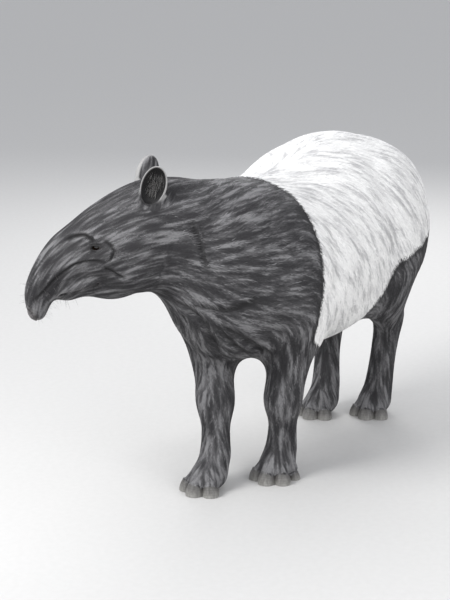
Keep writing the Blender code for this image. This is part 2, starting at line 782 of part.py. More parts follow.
# The whole animal stands with the middle of its bounding box over the origin.
corners = np.array([vertex.co for piece in tapir.objects for vertex in piece.data.vertices])
middle = (corners.min(axis=0) + corners.max(axis=0)) / 2
for part_object in [*tapir.objects, *cutters.objects]:
    part_object.location = (-middle[0], -middle[1], 0)
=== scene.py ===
"""An adult Malayan tapir, life size, standing in mid-step with its head turned to its right.

Metres, +Z up, floor at z = 0. The flesh is made with +X the way the body faces and +Y the animal's left, and
every piece then moves with the solids, whose left eye says how far.
"""

import math

import bmesh
import bpy
import numpy as np
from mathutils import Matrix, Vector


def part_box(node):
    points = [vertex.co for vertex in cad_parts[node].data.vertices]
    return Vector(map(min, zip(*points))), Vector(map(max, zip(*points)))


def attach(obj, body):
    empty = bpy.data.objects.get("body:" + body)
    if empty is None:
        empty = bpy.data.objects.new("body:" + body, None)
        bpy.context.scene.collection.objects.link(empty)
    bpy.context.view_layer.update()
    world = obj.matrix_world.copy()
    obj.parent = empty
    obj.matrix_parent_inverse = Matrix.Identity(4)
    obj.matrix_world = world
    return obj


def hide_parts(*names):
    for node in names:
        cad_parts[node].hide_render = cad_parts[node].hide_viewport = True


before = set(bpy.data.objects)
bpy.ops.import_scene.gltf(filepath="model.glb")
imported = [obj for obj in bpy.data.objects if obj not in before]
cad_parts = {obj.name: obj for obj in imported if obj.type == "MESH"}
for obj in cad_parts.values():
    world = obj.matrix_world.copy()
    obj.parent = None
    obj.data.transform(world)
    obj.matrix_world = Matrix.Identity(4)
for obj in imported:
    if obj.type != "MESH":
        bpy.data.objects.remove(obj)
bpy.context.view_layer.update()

import openvdb
from mathutils import Matrix, Vector
from mathutils.bvhtree import BVHTree

# The trunk: ribs, belly, shoulder blades and haunches under one thick hide. All the flesh is pressed
# together from rounded forms like clay, and every form knows how far a point lies outside it.
HEAD_FOOT = Vector((0.52, -0.10, 0.0))
HEAD_TURN = Matrix.Rotation(math.radians(-50), 3, "Z")
TO_NOSE = HEAD_TURN @ Vector((1, 0, 0))
TO_CHEEK = HEAD_TURN @ Vector((0, 1, 0))
FAR = 1.0
FORM_MARGIN = 0.027


def nearest(points, line):
    """The nearest stretch of a line of points: the gap squared, the stretch's number, the share along it."""
    gap = np.full(len(points), np.inf, np.float32)
    stretch = np.zeros(len(points), int)
    share = np.zeros(len(points), np.float32)
    for i in range(len(line) - 1):
        step = line[i + 1] - line[i]
        from_start = points - line[i]
        along = np.clip(from_start @ step / (step @ step), 0, 1)
        here = ((from_start - along[:, None] * step) ** 2).sum(axis=1)
        closer = here < gap
        gap[closer], stretch[closer], share[closer] = here[closer], i, along[closer]
    return gap, stretch, share


class Ellipsoid:
    """An egg of flesh. Its radii lie along the three columns of turn."""

    def __init__(self, centre, radii, turn=None):
        self.centre = np.array(centre, np.float32)
        self.radii = np.array(radii, np.float32)
        self.turn = np.eye(3, dtype=np.float32) if turn is None else np.array(turn, np.float32)
        reach = float(self.radii.max())
        self.low = self.centre - reach
        self.high = self.centre + reach

    def distance(self, points):
        local = (points - self.centre) @ self.turn
        near = np.linalg.norm(local / self.radii, axis=-1)
        slope = np.linalg.norm(local / self.radii**2, axis=-1)
        return near * (near - 1) / np.maximum(slope, 1e-6)


class Sweep:
    """A tube of flesh along a smooth line. Each station is (point, half width, half height above, half height
    below); width runs along side, and height along the line's own upward normal."""

    def __init__(self, stations, side, steps=5):
        rows = smooth_rows([[*p, w, up, down] for p, w, up, down in stations], steps)
        self.line = rows[:, :3]
        along = np.gradient(self.line, axis=0)
        along /= np.linalg.norm(along, axis=1, keepdims=True)
        across = np.array(side, float) - along * (along @ np.array(side, float))[:, None]
        across /= np.linalg.norm(across, axis=1, keepdims=True)
        self.rows = np.hstack([rows, along, across, np.cross(along, across)]).astype(np.float32)
        reach = rows[:, 3:].max(axis=1)[:, None]
        self.low = (self.line - reach).min(axis=0)
        self.high = (self.line + reach).max(axis=0)

    def distance(self, points):
        gap, start, share = nearest(points, self.line.astype(np.float32))
        share = share[:, None].astype(float)
        rows = self.rows[start] * (1 - share) + self.rows[start + 1] * share
        offset = points - rows[:, :3]
        ahead, wide, high = (np.einsum("ij,ij->i", offset, rows[:, k : k + 3]) for k in (6, 9, 12))
        half = np.where(high > 0, rows[:, 4], rows[:, 5])
        cap = np.minimum(rows[:, 3], half)
        near = np.sqrt((wide / rows[:, 3]) ** 2 + (high / half) ** 2 + (ahead / cap) ** 2)
        slope = np.sqrt((wide / rows[:, 3] ** 2) ** 2 + (high / half**2) ** 2 + (ahead / cap**2) ** 2)
        return near * (near - 1) / np.maximum(slope, 1e-4)


def smooth_rows(rows, steps):
    """Rows of numbers with more rows between them, on a curve that passes through each."""
    rows = np.array(rows, float)
    padded = np.vstack([2 * rows[0] - rows[1], rows, 2 * rows[-1] - rows[-2]])
    made = []
    for i in range(1, len(padded) - 2):
        before, here, there, after = padded[i - 1 : i + 3]
        for t in np.arange(steps) / steps:
            made.append(
                here
                + 0.5 * t * (there - before)
                + t * t * (before - 2.5 * here + 2 * there - 0.5 * after)
                + t**3 * 0.5 * (3 * (here - there) + after - before)
            )
    made.append(rows[-1])
    return np.array(made)


class Flesh:
    """Forms pressed on or cut away one after another, each with a fillet about blend wide."""

    def __init__(self):
        self.steps = []

    def add(self, form, blend):
        self.steps.append((1, form, blend))

    def cut(self, form, blend):
        self.steps.append((-1, form, blend))

    def depth(self, points, there=None):
        there = np.full(len(points), FAR, np.float32) if there is None else there.copy()
        for way, form, blend in self.steps:
            margin = blend + FORM_MARGIN
            inside = (points > form.low - margin) & (points < form.high + margin)
            near = np.nonzero(inside.all(axis=1))[0]
            if len(near) == 0:
                continue
            here = there[near]
            form_depth = way * form.distance(points[near])
            fillet = np.maximum(blend - np.abs(here - form_depth), 0) ** 2 / (4 * blend)
            if way > 0:
                there[near] = np.minimum(here, form_depth) - fillet
            else:
                there[near] = np.maximum(here, form_depth) + fillet
        return there


def mirrored(point, side):
    return (point[0], side * point[1], point[2])


def in_head(point, side=1):
    """A point of the head's own frame (towards the nose, to its left, up), in the animal's."""
    return HEAD_FOOT + HEAD_TURN @ Vector(mirrored(point, side))


def head_turn(dip):
    """Axes of a form on the head: dip is how far its own X points below the horizon, in degrees."""
    return HEAD_TURN @ Matrix.Rotation(math.radians(dip), 3, "Y")


# One long barrel, highest over the croup, with a deep breast.
TRUNK_STATIONS = (
    # x, z of the middle, half width, height above, depth below
    (-0.520, 0.775, 0.236, 0.262, 0.275),
    (-0.430, 0.765, 0.272, 0.307, 0.305),
    (-0.310, 0.745, 0.290, 0.335, 0.350),
    (-0.170, 0.718, 0.296, 0.343, 0.360),
    (-0.010, 0.700, 0.294, 0.308, 0.335),
    (0.150, 0.692, 0.277, 0.283, 0.312),
    (0.290, 0.700, 0.240, 0.265, 0.275),
    (0.370, 0.715, 0.205, 0.246, 0.250),
)
TRUNK_FORMS = (
    # centre, radii and fillet on each side: shoulder blade, haunch, buttock
    ((0.290, 0.130, 0.715), (0.135, 0.115, 0.220), 0.10),
    ((-0.450, 0.156, 0.760), (0.172, 0.122, 0.220), 0.12),
    ((-0.510, 0.135, 0.640), (0.130, 0.105, 0.170), 0.09),
)
body = Flesh()
body.add(Sweep([((x, 0, z), w, up, down) for x, z, w, up, down in TRUNK_STATIONS], (0, 1, 0)), 0.01)
for side in (1, -1):
    for centre, radii, fillet in TRUNK_FORMS:
        body.add(Ellipsoid(mirrored(centre, side), radii), fillet)
BREAST = Ellipsoid((0.400, 0.0, 0.600), (0.120, 0.140, 0.150))
body.add(BREAST, 0.10)

# The legs: forearm or shank, cannon bone and a broad soft pad, with four toes in front and three behind. Each
# is a tube of flesh down its joints, with the knobs of elbow, wrist, kneecap and hock pressed onto it.
FORELEG_SIZES = (
    # half width, half depth to the front, half depth to the rear, from the shoulder down
    (0.090, 0.115, 0.125),
    (0.080, 0.090, 0.106),
    (0.074, 0.073, 0.078),
    (0.057, 0.059, 0.057),
    (0.050, 0.050, 0.050),
    (0.055, 0.055, 0.050),
)
HINDLEG_SIZES = (
    (0.115, 0.190, 0.190),
    (0.100, 0.125, 0.172),
    (0.077, 0.086, 0.106),
    (0.055, 0.062, 0.062),
    (0.049, 0.053, 0.051),
    (0.054, 0.054, 0.050),
)
TOE_FLESH = (0.036, 0.0225, 0.027)
TOE_DIP = math.radians(26)
# Fan in degrees from straight ahead, outward positive; distance from the middle of the foot; height; size.
MAIN_TOES = ((-38, 0.060, 0.029, 1.0), (0, 0.067, 0.030, 1.06), (38, 0.060, 0.029, 1.0))
OUTER_TOE = ((88, 0.050, 0.042, 0.70),)
LEGS = {
    # side, toes, yaw in degrees, the four joints from the top, the middle of the foot
    "foreleg_left": (
        1,
        MAIN_TOES + OUTER_TOE,
        2,
        ((0.285, 0.150, 0.700), (0.225, 0.158, 0.500), (0.256, 0.145, 0.275), (0.240, 0.130, 0.105)),
        (0.256, 0.126, 0.044),
    ),
    "foreleg_right": (
        -1,
        MAIN_TOES + OUTER_TOE,
        -6,
        ((0.320, -0.145, 0.700), (0.306, -0.112, 0.500), (0.390, -0.037, 0.280), (0.436, -0.010, 0.105)),
        (0.468, -0.012, 0.044),
    ),
    "hindleg_left": (
        1,
        MAIN_TOES,
        3,
        ((-0.470, 0.140, 0.740), (-0.400, 0.168, 0.550), (-0.560, 0.130, 0.345), (-0.536, 0.112, 0.105)),
        (-0.516, 0.108, 0.044),
    ),
    "hindleg_right": (
        -1,
        MAIN_TOES,
        -4,
        ((-0.470, -0.140, 0.740), (-0.340, -0.150, 0.550), (-0.500, -0.084, 0.345), (-0.442, -0.062, 0.105)),
        (-0.412, -0.060, 0.044),
    ),
}


def add_leg(flesh, name):
    side, toes, yaw, joints, foot = LEGS[name]
    upper, stifle, hock, fetlock = (Vector(joint) for joint in joints)
    fore = "fore" in name
    middle = stifle.lerp(hock, 0.45 if fore else 0.55)
    points = (upper, stifle, middle, hock, hock.lerp(fetlock, 0.5), fetlock)
    sizes = FORELEG_SIZES if fore else HINDLEG_SIZES
    flesh.add(Sweep([(p, *s) for p, s in zip(points, sizes)], (0, 1, 0)), 0.08 if fore else 0.09)
    if fore:
        # Point of the elbow, and the wrist bones.
        flesh.add(Ellipsoid(stifle + Vector((-0.055, 0, 0.045)), (0.055, 0.058, 0.095)), 0.07)
        flesh.add(Ellipsoid(hock + Vector((0.010, 0, 0)), (0.052, 0.055, 0.060)), 0.05)
    else:
        # Point of the hock, the kneecap, and the fold of skin from it to the belly.
        flesh.add(Ellipsoid(hock + Vector((-0.034, 0, 0.028)), (0.026, 0.030, 0.045)), 0.05)
        knee = stifle + Vector((0.070, side * 0.010, 0.010))
        flesh.add(Ellipsoid(knee, (0.060, 0.065, 0.080)), 0.06)
        fold = (
            (knee + Vector((0, 0, 0.03)), 0.035, 0.04, 0.05),
            (knee + Vector((0.12, side * 0.02, -0.02)), 0.022, 0.03, 0.04),
            (knee + Vector((0.24, 0, -0.06)), 0.016, 0.02, 0.02),
        )
        flesh.add(Sweep(fold, (0, 1, 0)), 0.08)
    turn = Matrix.Rotation(math.radians(yaw), 3, "Z")
    flesh.add(Ellipsoid(Vector(foot) + turn @ Vector((0.010, 0, 0)), (0.073, 0.064, 0.052), turn), 0.04)


def toes_of(name):
    """Centre, axes and size of each toe: X runs along the toe and dips to its tip."""
    side, toes, yaw, joints, foot = LEGS[name]
    for fan, reach, height, size in toes:
        heading = Matrix.Rotation(math.radians(yaw + side * fan), 3, "Z")
        centre = Vector(foot) + heading @ Vector((reach, 0, 0))
        centre.z = height
        yield centre, heading @ Matrix.Rotation(TOE_DIP, 3, "Y"), size


for name in LEGS:
    add_leg(body, name)

# The neck, short and deep, and the skull under its jaw muscles, drawn out into a short trunk. They are tubes
# along the neck and skull, with jaws, cheekbones and brows pressed on in the head's own frame.
NECK_STATIONS = (
    ((0.160, 0.010, 0.755), 0.200, 0.198, 0.250),
    ((0.300, 0.000, 0.790), 0.186, 0.194, 0.240),
    ((0.400, -0.022, 0.820), 0.164, 0.184, 0.212),
    ((0.480, -0.070, 0.845), 0.142, 0.176, 0.182),
    ((0.560, -0.150, 0.860), 0.126, 0.162, 0.168),
)
SKULL_STATIONS = (
    # forward, height, half width, above, below: from the nape to the trunk's tip
    (0.020, 0.880, 0.118, 0.155, 0.175),
    (0.110, 0.872, 0.122, 0.158, 0.160),
    (0.200, 0.842, 0.112, 0.142, 0.150),
    (0.280, 0.806, 0.090, 0.122, 0.118),
    (0.348, 0.772, 0.069, 0.105, 0.090),
    (0.403, 0.730, 0.057, 0.077, 0.066),
    (0.440, 0.678, 0.049, 0.056, 0.048),
    (0.450, 0.620, 0.041, 0.037, 0.033),
)
CHEEK_FORMS = (
    # centre, radii and fillet on each side: jaw muscle, cheekbone, brow
    ((0.150, 0.075, 0.790), (0.095, 0.052, 0.100), 0.05),
    ((0.235, 0.078, 0.820), (0.070, 0.026, 0.030), 0.04),
    ((0.262, 0.066, 0.880), (0.050, 0.024, 0.024), 0.04),
)
JAW_FORMS = (
    # centre, radii, dip and fillet: lower jaw, chin and lip, angle of the jaw
    ((0.270, 0, 0.712), (0.110, 0.052, 0.036), 18, 0.03),
    ((0.352, 0, 0.672), (0.032, 0.034, 0.022), 10, 0.02),
    ((0.205, 0, 0.705), (0.080, 0.066, 0.052), 5, 0.04),
)
UPPER_LIP = ((0.405, 0.026, 0.690), (0.365, 0.040, 0.706), (0.320, 0.050, 0.716), (0.275, 0.058, 0.730))
body.add(Sweep(NECK_STATIONS, (0.2, 1, 0)), 0.14)
skull = [(in_head((x, 0, z)), w, up, down) for x, z, w, up, down in SKULL_STATIONS]
body.add(Sweep(skull, TO_CHEEK, steps=12), 0.06)
for side in (1, -1):
    for centre, radii, fillet in CHEEK_FORMS:
        body.add(Ellipsoid(in_head(centre, side), radii, head_turn(36)), fillet)
for centre, radii, dip, fillet in JAW_FORMS:
    body.add(Ellipsoid(in_head(centre), radii, head_turn(dip)), fillet)

# Toes, tail, ears, lips, mouth, nostrils and eye sockets: gristle and thin skin, so finer than the rest. The
# tail is a short stump, and the cups of the ears, the mouth, nostrils and sockets are cut out of the flesh.
EAR_FOOT = (0.105, 0.070, 0.960)
EAR_TIP = (0.066, 0.112, 1.104)
EAR_RADII = (0.027, 0.043, 0.071)
EAR_ROOT_RADII = (0.034, 0.038, 0.044)
EYE_RADIUS = 0.0165
EYE_PLACE = (0.262, 0.0745, 0.846)
EYE_GAZE = Vector((0.30, 0.95, -0.04))
LID_WIDE = 0.0150
LID_HIGH = 0.0068
NOSTRIL = (0.478, 0.019, 0.622)
TAIL_STATIONS = (
    ((-0.656, 0, 0.925), 0.034, 0.036, 0.036),
    ((-0.740, 0, 0.898), 0.029, 0.030, 0.030),
    ((-0.794, 0, 0.850), 0.023, 0.023, 0.022),
    ((-0.815, 0, 0.800), 0.015, 0.015, 0.014),
)
MOUTH_LINE = (
    (0.388, 0, 0.678), (0.378, 0.034, 0.684), (0.335, 0.052, 0.692),
    (0.290, 0.064, 0.706), (0.262, 0.072, 0.722),
)


def ear_frame(side):
    """Centre and axes of an ear: X is the way the cup faces, Z runs from foot to tip."""
    foot, tip = (in_head(p, side) for p in (EAR_FOOT, EAR_TIP))
    up = (tip - foot).normalized()
    face = HEAD_TURN @ Vector((0.42, side * 0.90, 0.0))
    face = (face - up * face.dot(up)).normalized()
    return (foot + tip) / 2, Matrix((face, up.cross(face), up)).transposed()


fine = Flesh()
for name in LEGS:
    for centre, axes, size in toes_of(name):
        fine.add(Ellipsoid(centre, [size * radius for radius in TOE_FLESH], axes), 0.014)
fine.add(Sweep(TAIL_STATIONS, (0, 1, 0)), 0.014)
for side in (1, -1):
    centre, turn = ear_frame(side)
    root = in_head(EAR_FOOT, side) + turn @ Vector((-0.004, 0, 0.006))
    fine.add(Ellipsoid(root, EAR_ROOT_RADII, turn), 0.03)
    fine.add(Ellipsoid(centre, EAR_RADII, turn), 0.014)
    cup = (0.033, EAR_RADII[1] - 0.005, EAR_RADII[2] - 0.007)
    fine.cut(Ellipsoid(centre + turn @ Vector((0.0155, 0, 0.009)), cup, turn), 0.004)
    lip = [(in_head(place, side), 0.016, 0.018, 0.014) for place in UPPER_LIP]
    fine.add(Sweep(lip, TO_CHEEK), 0.02)
    gape = [(in_head(place, side), 0.007, 0.0032, 0.0032) for place in MOUTH_LINE]
    fine.cut(Sweep(gape, TO_CHEEK), 0.004)
    slant = head_turn(30) @ Matrix.Rotation(math.radians(side * 25), 3, "Z")
    fine.cut(Ellipsoid(in_head(NOSTRIL, side), (0.014, 0.008, 0.013), slant), 0.006)
    eye = in_head(EYE_PLACE, side)
    gaze = HEAD_TURN @ Vector(mirrored(EYE_GAZE, side)).normalized()
    fine.add(Ellipsoid(eye, (EYE_RADIUS + 0.0040,) * 3), 0.012)
    socket = Matrix((gaze, Vector((0, 0, 1)).cross(gaze).normalized(), (0, 0, 1))).transposed()
    fine.cut(Ellipsoid(eye + gaze * EYE_RADIUS, (0.014, LID_WIDE, LID_HIGH), socket), 0.003)

# The hide: one thick skin over all that flesh. Its form is settled on a coarse lattice, as a wet hand smooths
# clay, and finer lattices add only detail. It lies inside the solids by the depth of the short coat.
COARSE = 0.012
COARSE_LOW = np.array((-0.90, -0.52, -0.05))
COARSE_HIGH = np.array((0.92, 0.44, 1.18))
SETTLE_REACH = 0.054
COAT_DEPTH = 0.0016
NEAR_HIDE = 0.018


def lattice(low, high, voxel):
    axes = [np.arange(low[k], high[k], voxel, dtype=np.float32) for k in range(3)]
    return np.stack(np.meshgrid(*axes, indexing="ij"), axis=-1)


def settled(grid, passes):
    grid = grid.copy()
    for _ in range(passes):
        for axis in range(3):
            rows = np.moveaxis(grid, axis, 0)
            rows[1:-1] = (rows[:-2] + 2 * rows[1:-1] + rows[2:]) / 4
    return grid


def sampled(grid, low, voxel, points):
    """Values of a lattice at points between its own."""
    place = (points - np.array(low, np.float32)) / np.float32(voxel)
    place = np.clip(place, 0, np.array(grid.shape[:3], np.float32) - 1.001)
    start = place.astype(np.int32)
    share = place - start
    flat = grid.reshape(-1)
    strides = (grid.shape[1] * grid.shape[2], grid.shape[2], 1)
    first = start[:, 0] * strides[0] + start[:, 1] * strides[1] + start[:, 2]
    total = np.zeros(len(points), np.float32)
    for corner in range(8):
        bits = [(corner >> k) & 1 for k in range(3)]
        weight = np.ones(len(points), np.float32)
        for k in range(3):
            weight *= share[:, k] if bits[k] else 1 - share[:, k]
        total += weight * flat[first + sum(bits[k] * strides[k] for k in range(3))]
    return total


coarse_points = lattice(COARSE_LOW, COARSE_HIGH, COARSE)
raw = body.depth(coarse_points.reshape(-1, 3)).reshape(coarse_points.shape[:3])
raw = np.clip(raw, -SETTLE_REACH, SETTLE_REACH)
coarse = settled(raw, 3)
settling = coarse - raw


def flesh_depth(points):
    """How far points lie outside the hide."""
    there = body.depth(points) + sampled(settling, COARSE_LOW, COARSE, points)
    return fine.depth(points, there) + COAT_DEPTH


def surface(low, high, voxel, kept):
    """The hide within a box and inside some planes, each a point and the way out, as a new open mesh."""
    points = lattice(low, high, voxel)
    shape = points.shape[:3]
    points = points.reshape(-1, 3)
    depth = sampled(coarse, COARSE_LOW, COARSE, points)
    near = np.abs(depth) < NEAR_HIDE + voxel
    for _, form, blend in fine.steps:
        margin = blend + 2 * voxel
        near |= ((points > form.low - margin) & (points < form.high + margin)).all(axis=1)
    for point, outward in kept:
        near &= (points - np.array(point, np.float32)) @ np.array(outward, np.float32) < 4 * voxel
    near = np.nonzero(near)[0]
    depth[near] = flesh_depth(points[near])
    depth = depth.reshape(shape)
    for axis in range(3):
        rows = np.moveaxis(depth, axis, 0)
        rows[0] = rows[-1] = FAR
    grid = openvdb.FloatGrid(FAR)
    grid.copyFromArray(depth)
    found, quads = grid.convertToQuads(0.0)
    made = bpy.data.meshes.new("hide_part")
    made.from_pydata((found * voxel + np.array(low)).tolist(), [], quads.tolist())
    bm = bmesh.new()
    bm.from_mesh(made)
    bpy.data.meshes.remove(made)
    for point, outward in kept:
        bmesh.ops.bisect_plane(
            bm,
            geom=bm.verts[:] + bm.edges[:] + bm.faces[:],
            dist=1e-6,
            plane_co=point,
            plane_no=outward,
            clear_outer=True,
        )
    return bm


# The hide is made in six parts, finer on the head and feet. Each is cut off along a plane at its seam, and
# they are sewn together at the nape and above the feet.
TRUNK_VOXEL = 0.008
HEAD_VOXEL = 0.003
FOOT_VOXEL = 0.004
SEAM_GAP = 0.006
NAPE_FORWARD = 0.020
FETLOCK_HEIGHT = 0.135
UP = Vector((0, 0, 1))


def seam(point, outward):
    """The two planes on either side of a seam."""
    outward = Vector(outward)
    return (point - outward * SEAM_GAP / 2, outward), (point + outward * SEAM_GAP / 2, -outward)


nape_below, nape_above = seam(in_head((NAPE_FORWARD, 0, 0.85)), TO_NOSE)
leg_above, leg_below = seam(Vector((0, 0, FETLOCK_HEIGHT)), -UP)
parts = [
    surface((-0.88, -0.46, -0.02), (0.68, 0.42, 1.12), TRUNK_VOXEL, [nape_below, leg_above]),
    surface((0.33, -0.50, 0.40), (0.90, 0.08, 1.12), HEAD_VOXEL, [nape_above]),
]
for name, (side, toes, yaw, joints, foot) in LEGS.items():
    reach = Vector((0.125, 0.105, 0))
    low = Vector((foot[0], foot[1], -0.02)) - reach
    high = Vector((foot[0], foot[1], FETLOCK_HEIGHT + 0.01)) + reach
    inward = Vector((foot[0] + 0.02, 0.024, 0.05)), Vector((0, -side, 0))
    planes = [leg_below, inward] if name.startswith("hind") else [leg_below]
    parts.append(surface(low, high, FOOT_VOXEL, planes))

hide = bmesh.new()
for part in parts:
    loose = bpy.data.meshes.new("loose")
    part.to_mesh(loose)
    part.free()
    hide.from_mesh(loose)
    bpy.data.meshes.remove(loose)


SCRAP_FACES = 500


def drop_scraps(bm):
    """Takes out every small scrap of faces that hangs together with nothing else."""
    left = set(bm.faces)
    strays = []
    while left:
        body_faces = [left.pop()]
        for face in body_faces:
            for edge in face.edges:
                for other in edge.link_faces:
                    if other in left:
                        left.remove(other)
                        body_faces.append(other)
        if len(body_faces) < SCRAP_FACES:
            strays += body_faces
    bmesh.ops.delete(bm, geom=strays, context="FACES")


drop_scraps(hide)


def sew(bm, point, outward, reach):
    """Joins the two rims on either side of a seam, near a point."""
    point = Vector(point)
    rims = []
    for edge in bm.edges:
        if not edge.is_boundary:
            continue
        offset = (edge.verts[0].co + edge.verts[1].co) / 2 - point
        if abs(offset.dot(outward)) < SEAM_GAP and offset.length < reach:
            rims.append(edge)
    bmesh.ops.bridge_loops(bm, edges=rims)


sew(hide, in_head((NAPE_FORWARD, 0, 0.85)), TO_NOSE, 0.6)
for name, (side, toes, yaw, joints, foot) in LEGS.items():
    sew(hide, (joints[3][0], joints[3][1], FETLOCK_HEIGHT), UP, 0.11)

# Round the ears, mouth, nostrils and eyes the skin is thin and shows every fold, so the hide is made twice as
# fine there, and four times at the eyes, and is drawn onto the flesh again.
FINE_PLACES = [(in_head(EYE_PLACE, side), 0.034) for side in (1, -1)]
FINE_PLACES += [(ear_frame(side)[0], 0.085) for side in (1, -1)]
FINE_PLACES += [(in_head((0.475, 0, 0.620)), 0.045), (in_head((0.385, 0, 0.680)), 0.040)]


def inside_places(points, places):
    found = np.zeros(len(points), bool)
    for centre, reach in places:
        found |= np.linalg.norm(points - np.array(centre), axis=1) < reach
    return found


def points_of(bm):
    bm.verts.ensure_lookup_table()
    return np.array([vert.co for vert in bm.verts], np.float32)


def drawn_on(points, passes):
    """Points moved onto the surface of the flesh, straight in or out."""
    step = 0.0006
    for _ in range(passes):
        here = flesh_depth(points)
        slope = np.stack(
            [flesh_depth(points + np.float32(step) * axis) - here for axis in np.eye(3, dtype=np.float32)],
            axis=1,
        )
        slope /= step
        size = np.maximum((slope**2).sum(axis=1), 0.2)
        move = -slope * (here / size)[:, None]
        length = np.linalg.norm(move, axis=1)
        move *= np.minimum(1, 0.0015 / np.maximum(length, 1e-9))[:, None]
        points = points + move
    return points


EYE_PLACES = [(centre, reach - 0.008) for centre, reach in FINE_PLACES[:2]]
for places in (FINE_PLACES, EYE_PLACES):
    chosen = inside_places(points_of(hide), places)
    edges = [edge for edge in hide.edges if chosen[edge.verts[0].index] and chosen[edge.verts[1].index]]
    bmesh.ops.subdivide_edges(hide, edges=edges, cuts=1, use_grid_fill=True)
bmesh.ops.recalc_face_normals(hide, faces=hide.faces[:])
places = [(centre, reach + 0.004) for centre, reach in FINE_PLACES]
hide_points = points_of(hide)
chosen = np.nonzero(inside_places(hide_points, places))[0]
hide_points[chosen] = drawn_on(hide_points[chosen], 3)
hide_mesh = bpy.data.meshes.new("hide")
hide.to_mesh(hide_mesh)
hide.free()


def set_points(mesh, points):
    mesh.vertices.foreach_set("co", np.asarray(points, np.float32).ravel())
    mesh.update()


def mesh_points(mesh):
    points = np.empty(len(mesh.vertices) * 3, np.float32)
    mesh.vertices.foreach_get("co", points)
    return points.reshape(-1, 3)


def mesh_normals(mesh):
    normals = np.empty(len(mesh.vertices) * 3, np.float32)
    mesh.vertex_normals.foreach_get("vector", normals)
    return normals.reshape(-1, 3)


set_points(hide_mesh, hide_points)


# Folds and creases, where the thick hide gathers at neck, breast, armpits and face, and the wide hollows
# between the muscles. Each is pressed in along a line on the hide, with a soft swelling on either side.
# A crease narrower than the first width below also has painted shade in the coat's colour, and less of it
# where it is wider than the second.
SHADED_CREASE_WIDTH = 0.02
FULL_SHADE_WIDTH = 0.0085
SHADED_CREASES = []


def to_line(points, line):
    """Distance of each point from a line of points, and how far along it lies, from 0 to 1."""
    line = np.array(line, np.float32)
    steps = np.linalg.norm(np.diff(line, axis=0), axis=1)
    starts = np.concatenate([[0], np.cumsum(steps)])
    gap, start, share = nearest(points, line)
    return np.sqrt(gap), ((starts[start] + share * steps[start]) / starts[-1]).astype(np.float32)


def crease(points, line, width, depth):
    """How far a crease moves the hide: in along the line, out beside it, fading at both ends."""
    line = smooth_rows(line, 4)
    # A narrow crease is also kept for the painted shade in the coat's colour.
    if width < SHADED_CREASE_WIDTH:
        SHADED_CREASES.append((line.astype(np.float32), width))
    low, high = line.min(axis=0) - 4 * width, line.max(axis=0) + 4 * width
    near = np.nonzero(((points > low) & (points < high)).all(axis=1))[0]
    gap, along = to_line(points[near], line)
    fade = np.clip(np.minimum(along, 1 - along) * 6, 0, 1)
    out = gap / width
    moved = np.zeros(len(points), np.float32)
    moved[near] = -depth * fade * (np.exp(-(out**2)) - 0.45 * np.exp(-((out - 1.9) ** 2)))
    return moved


def onto_hide(line):
    """A line drawn near the hide, moved onto it."""
    return drawn_on(smooth_rows(line, 3).astype(np.float32), 25)


CREASES = (
    # width, depth and the points of a line in the animal's frame
    # neck, from the nape down to the throat
    (0.008, 0.0045, (0.602, -0.002, 0.930), (0.600, 0.033, 0.854), (0.598, 0.050, 0.770)),
    # point of the shoulder
    (0.009, 0.0045, (0.595, 0.003, 0.659), (0.550, 0.116, 0.648), (0.487, 0.184, 0.682)),
    # armpits, from the breast over the forearms
    (
        0.012, 0.009,
        (0.562, 0.057, 0.597), (0.527, 0.099, 0.572), (0.454, 0.129, 0.519), (0.327, 0.139, 0.437),
    ),
    (
        0.01, 0.007,
        (0.557, 0.058, 0.586), (0.524, 0.089, 0.543), (0.477, 0.106, 0.494), (0.420, 0.112, 0.455),
    ),
    (
        0.013, 0.01,
        (0.596, -0.060, 0.665), (0.580, 0.002, 0.620), (0.566, 0.030, 0.588),
        (0.529, 0.040, 0.531), (0.496, 0.043, 0.483),
    ),
    # inside of the neck's bend
    (
        0.012, 0.008,
        (0.430, -0.200, 0.960), (0.470, -0.250, 0.860), (0.480, -0.255, 0.760), (0.470, -0.230, 0.670),
    ),
    (0.011, 0.005, (0.380, -0.210, 0.930), (0.410, -0.255, 0.840), (0.420, -0.260, 0.740)),
    # both sides of the tail
    (0.007, 0.003, (-0.735, 0.036, 0.910), (-0.785, 0.031, 0.862), (-0.805, 0.024, 0.812)),
    (0.007, 0.003, (-0.735, -0.036, 0.910), (-0.785, -0.031, 0.862), (-0.805, -0.024, 0.812)),
    # back of the elbows
    (0.012, 0.006, (0.150, 0.210, 0.560), (0.140, 0.205, 0.500), (0.165, 0.190, 0.440)),
    (0.012, 0.006, (0.190, -0.190, 0.560), (0.190, -0.180, 0.500), (0.230, -0.150, 0.440)),
)
HOLLOWS = (
    # width, depth and the points of a line in the animal's frame, on both sides
    # front of the shoulder blade
    (0.034, 0.006, (0.390, 0.120, 0.940), (0.420, 0.190, 0.830), (0.440, 0.220, 0.720)),
    # back of the triceps
    (0.04, 0.007, (0.165, 0.250, 0.860), (0.150, 0.280, 0.740), (0.165, 0.260, 0.600)),
    # before the haunch
    (
        0.045, 0.007,
        (-0.230, 0.200, 1.000), (-0.250, 0.280, 0.860), (-0.270, 0.300, 0.740), (-0.230, 0.280, 0.640),
    ),
    # groove of the hamstrings
    (
        0.03, 0.006,
        (-0.640, 0.120, 0.900), (-0.660, 0.180, 0.780), (-0.620, 0.200, 0.640), (-0.560, 0.190, 0.520),
    ),
    # beside the spine
    (0.04, 0.004, (0.260, 0.090, 1.000), (0.020, 0.110, 1.020), (-0.300, 0.120, 1.060)),
)
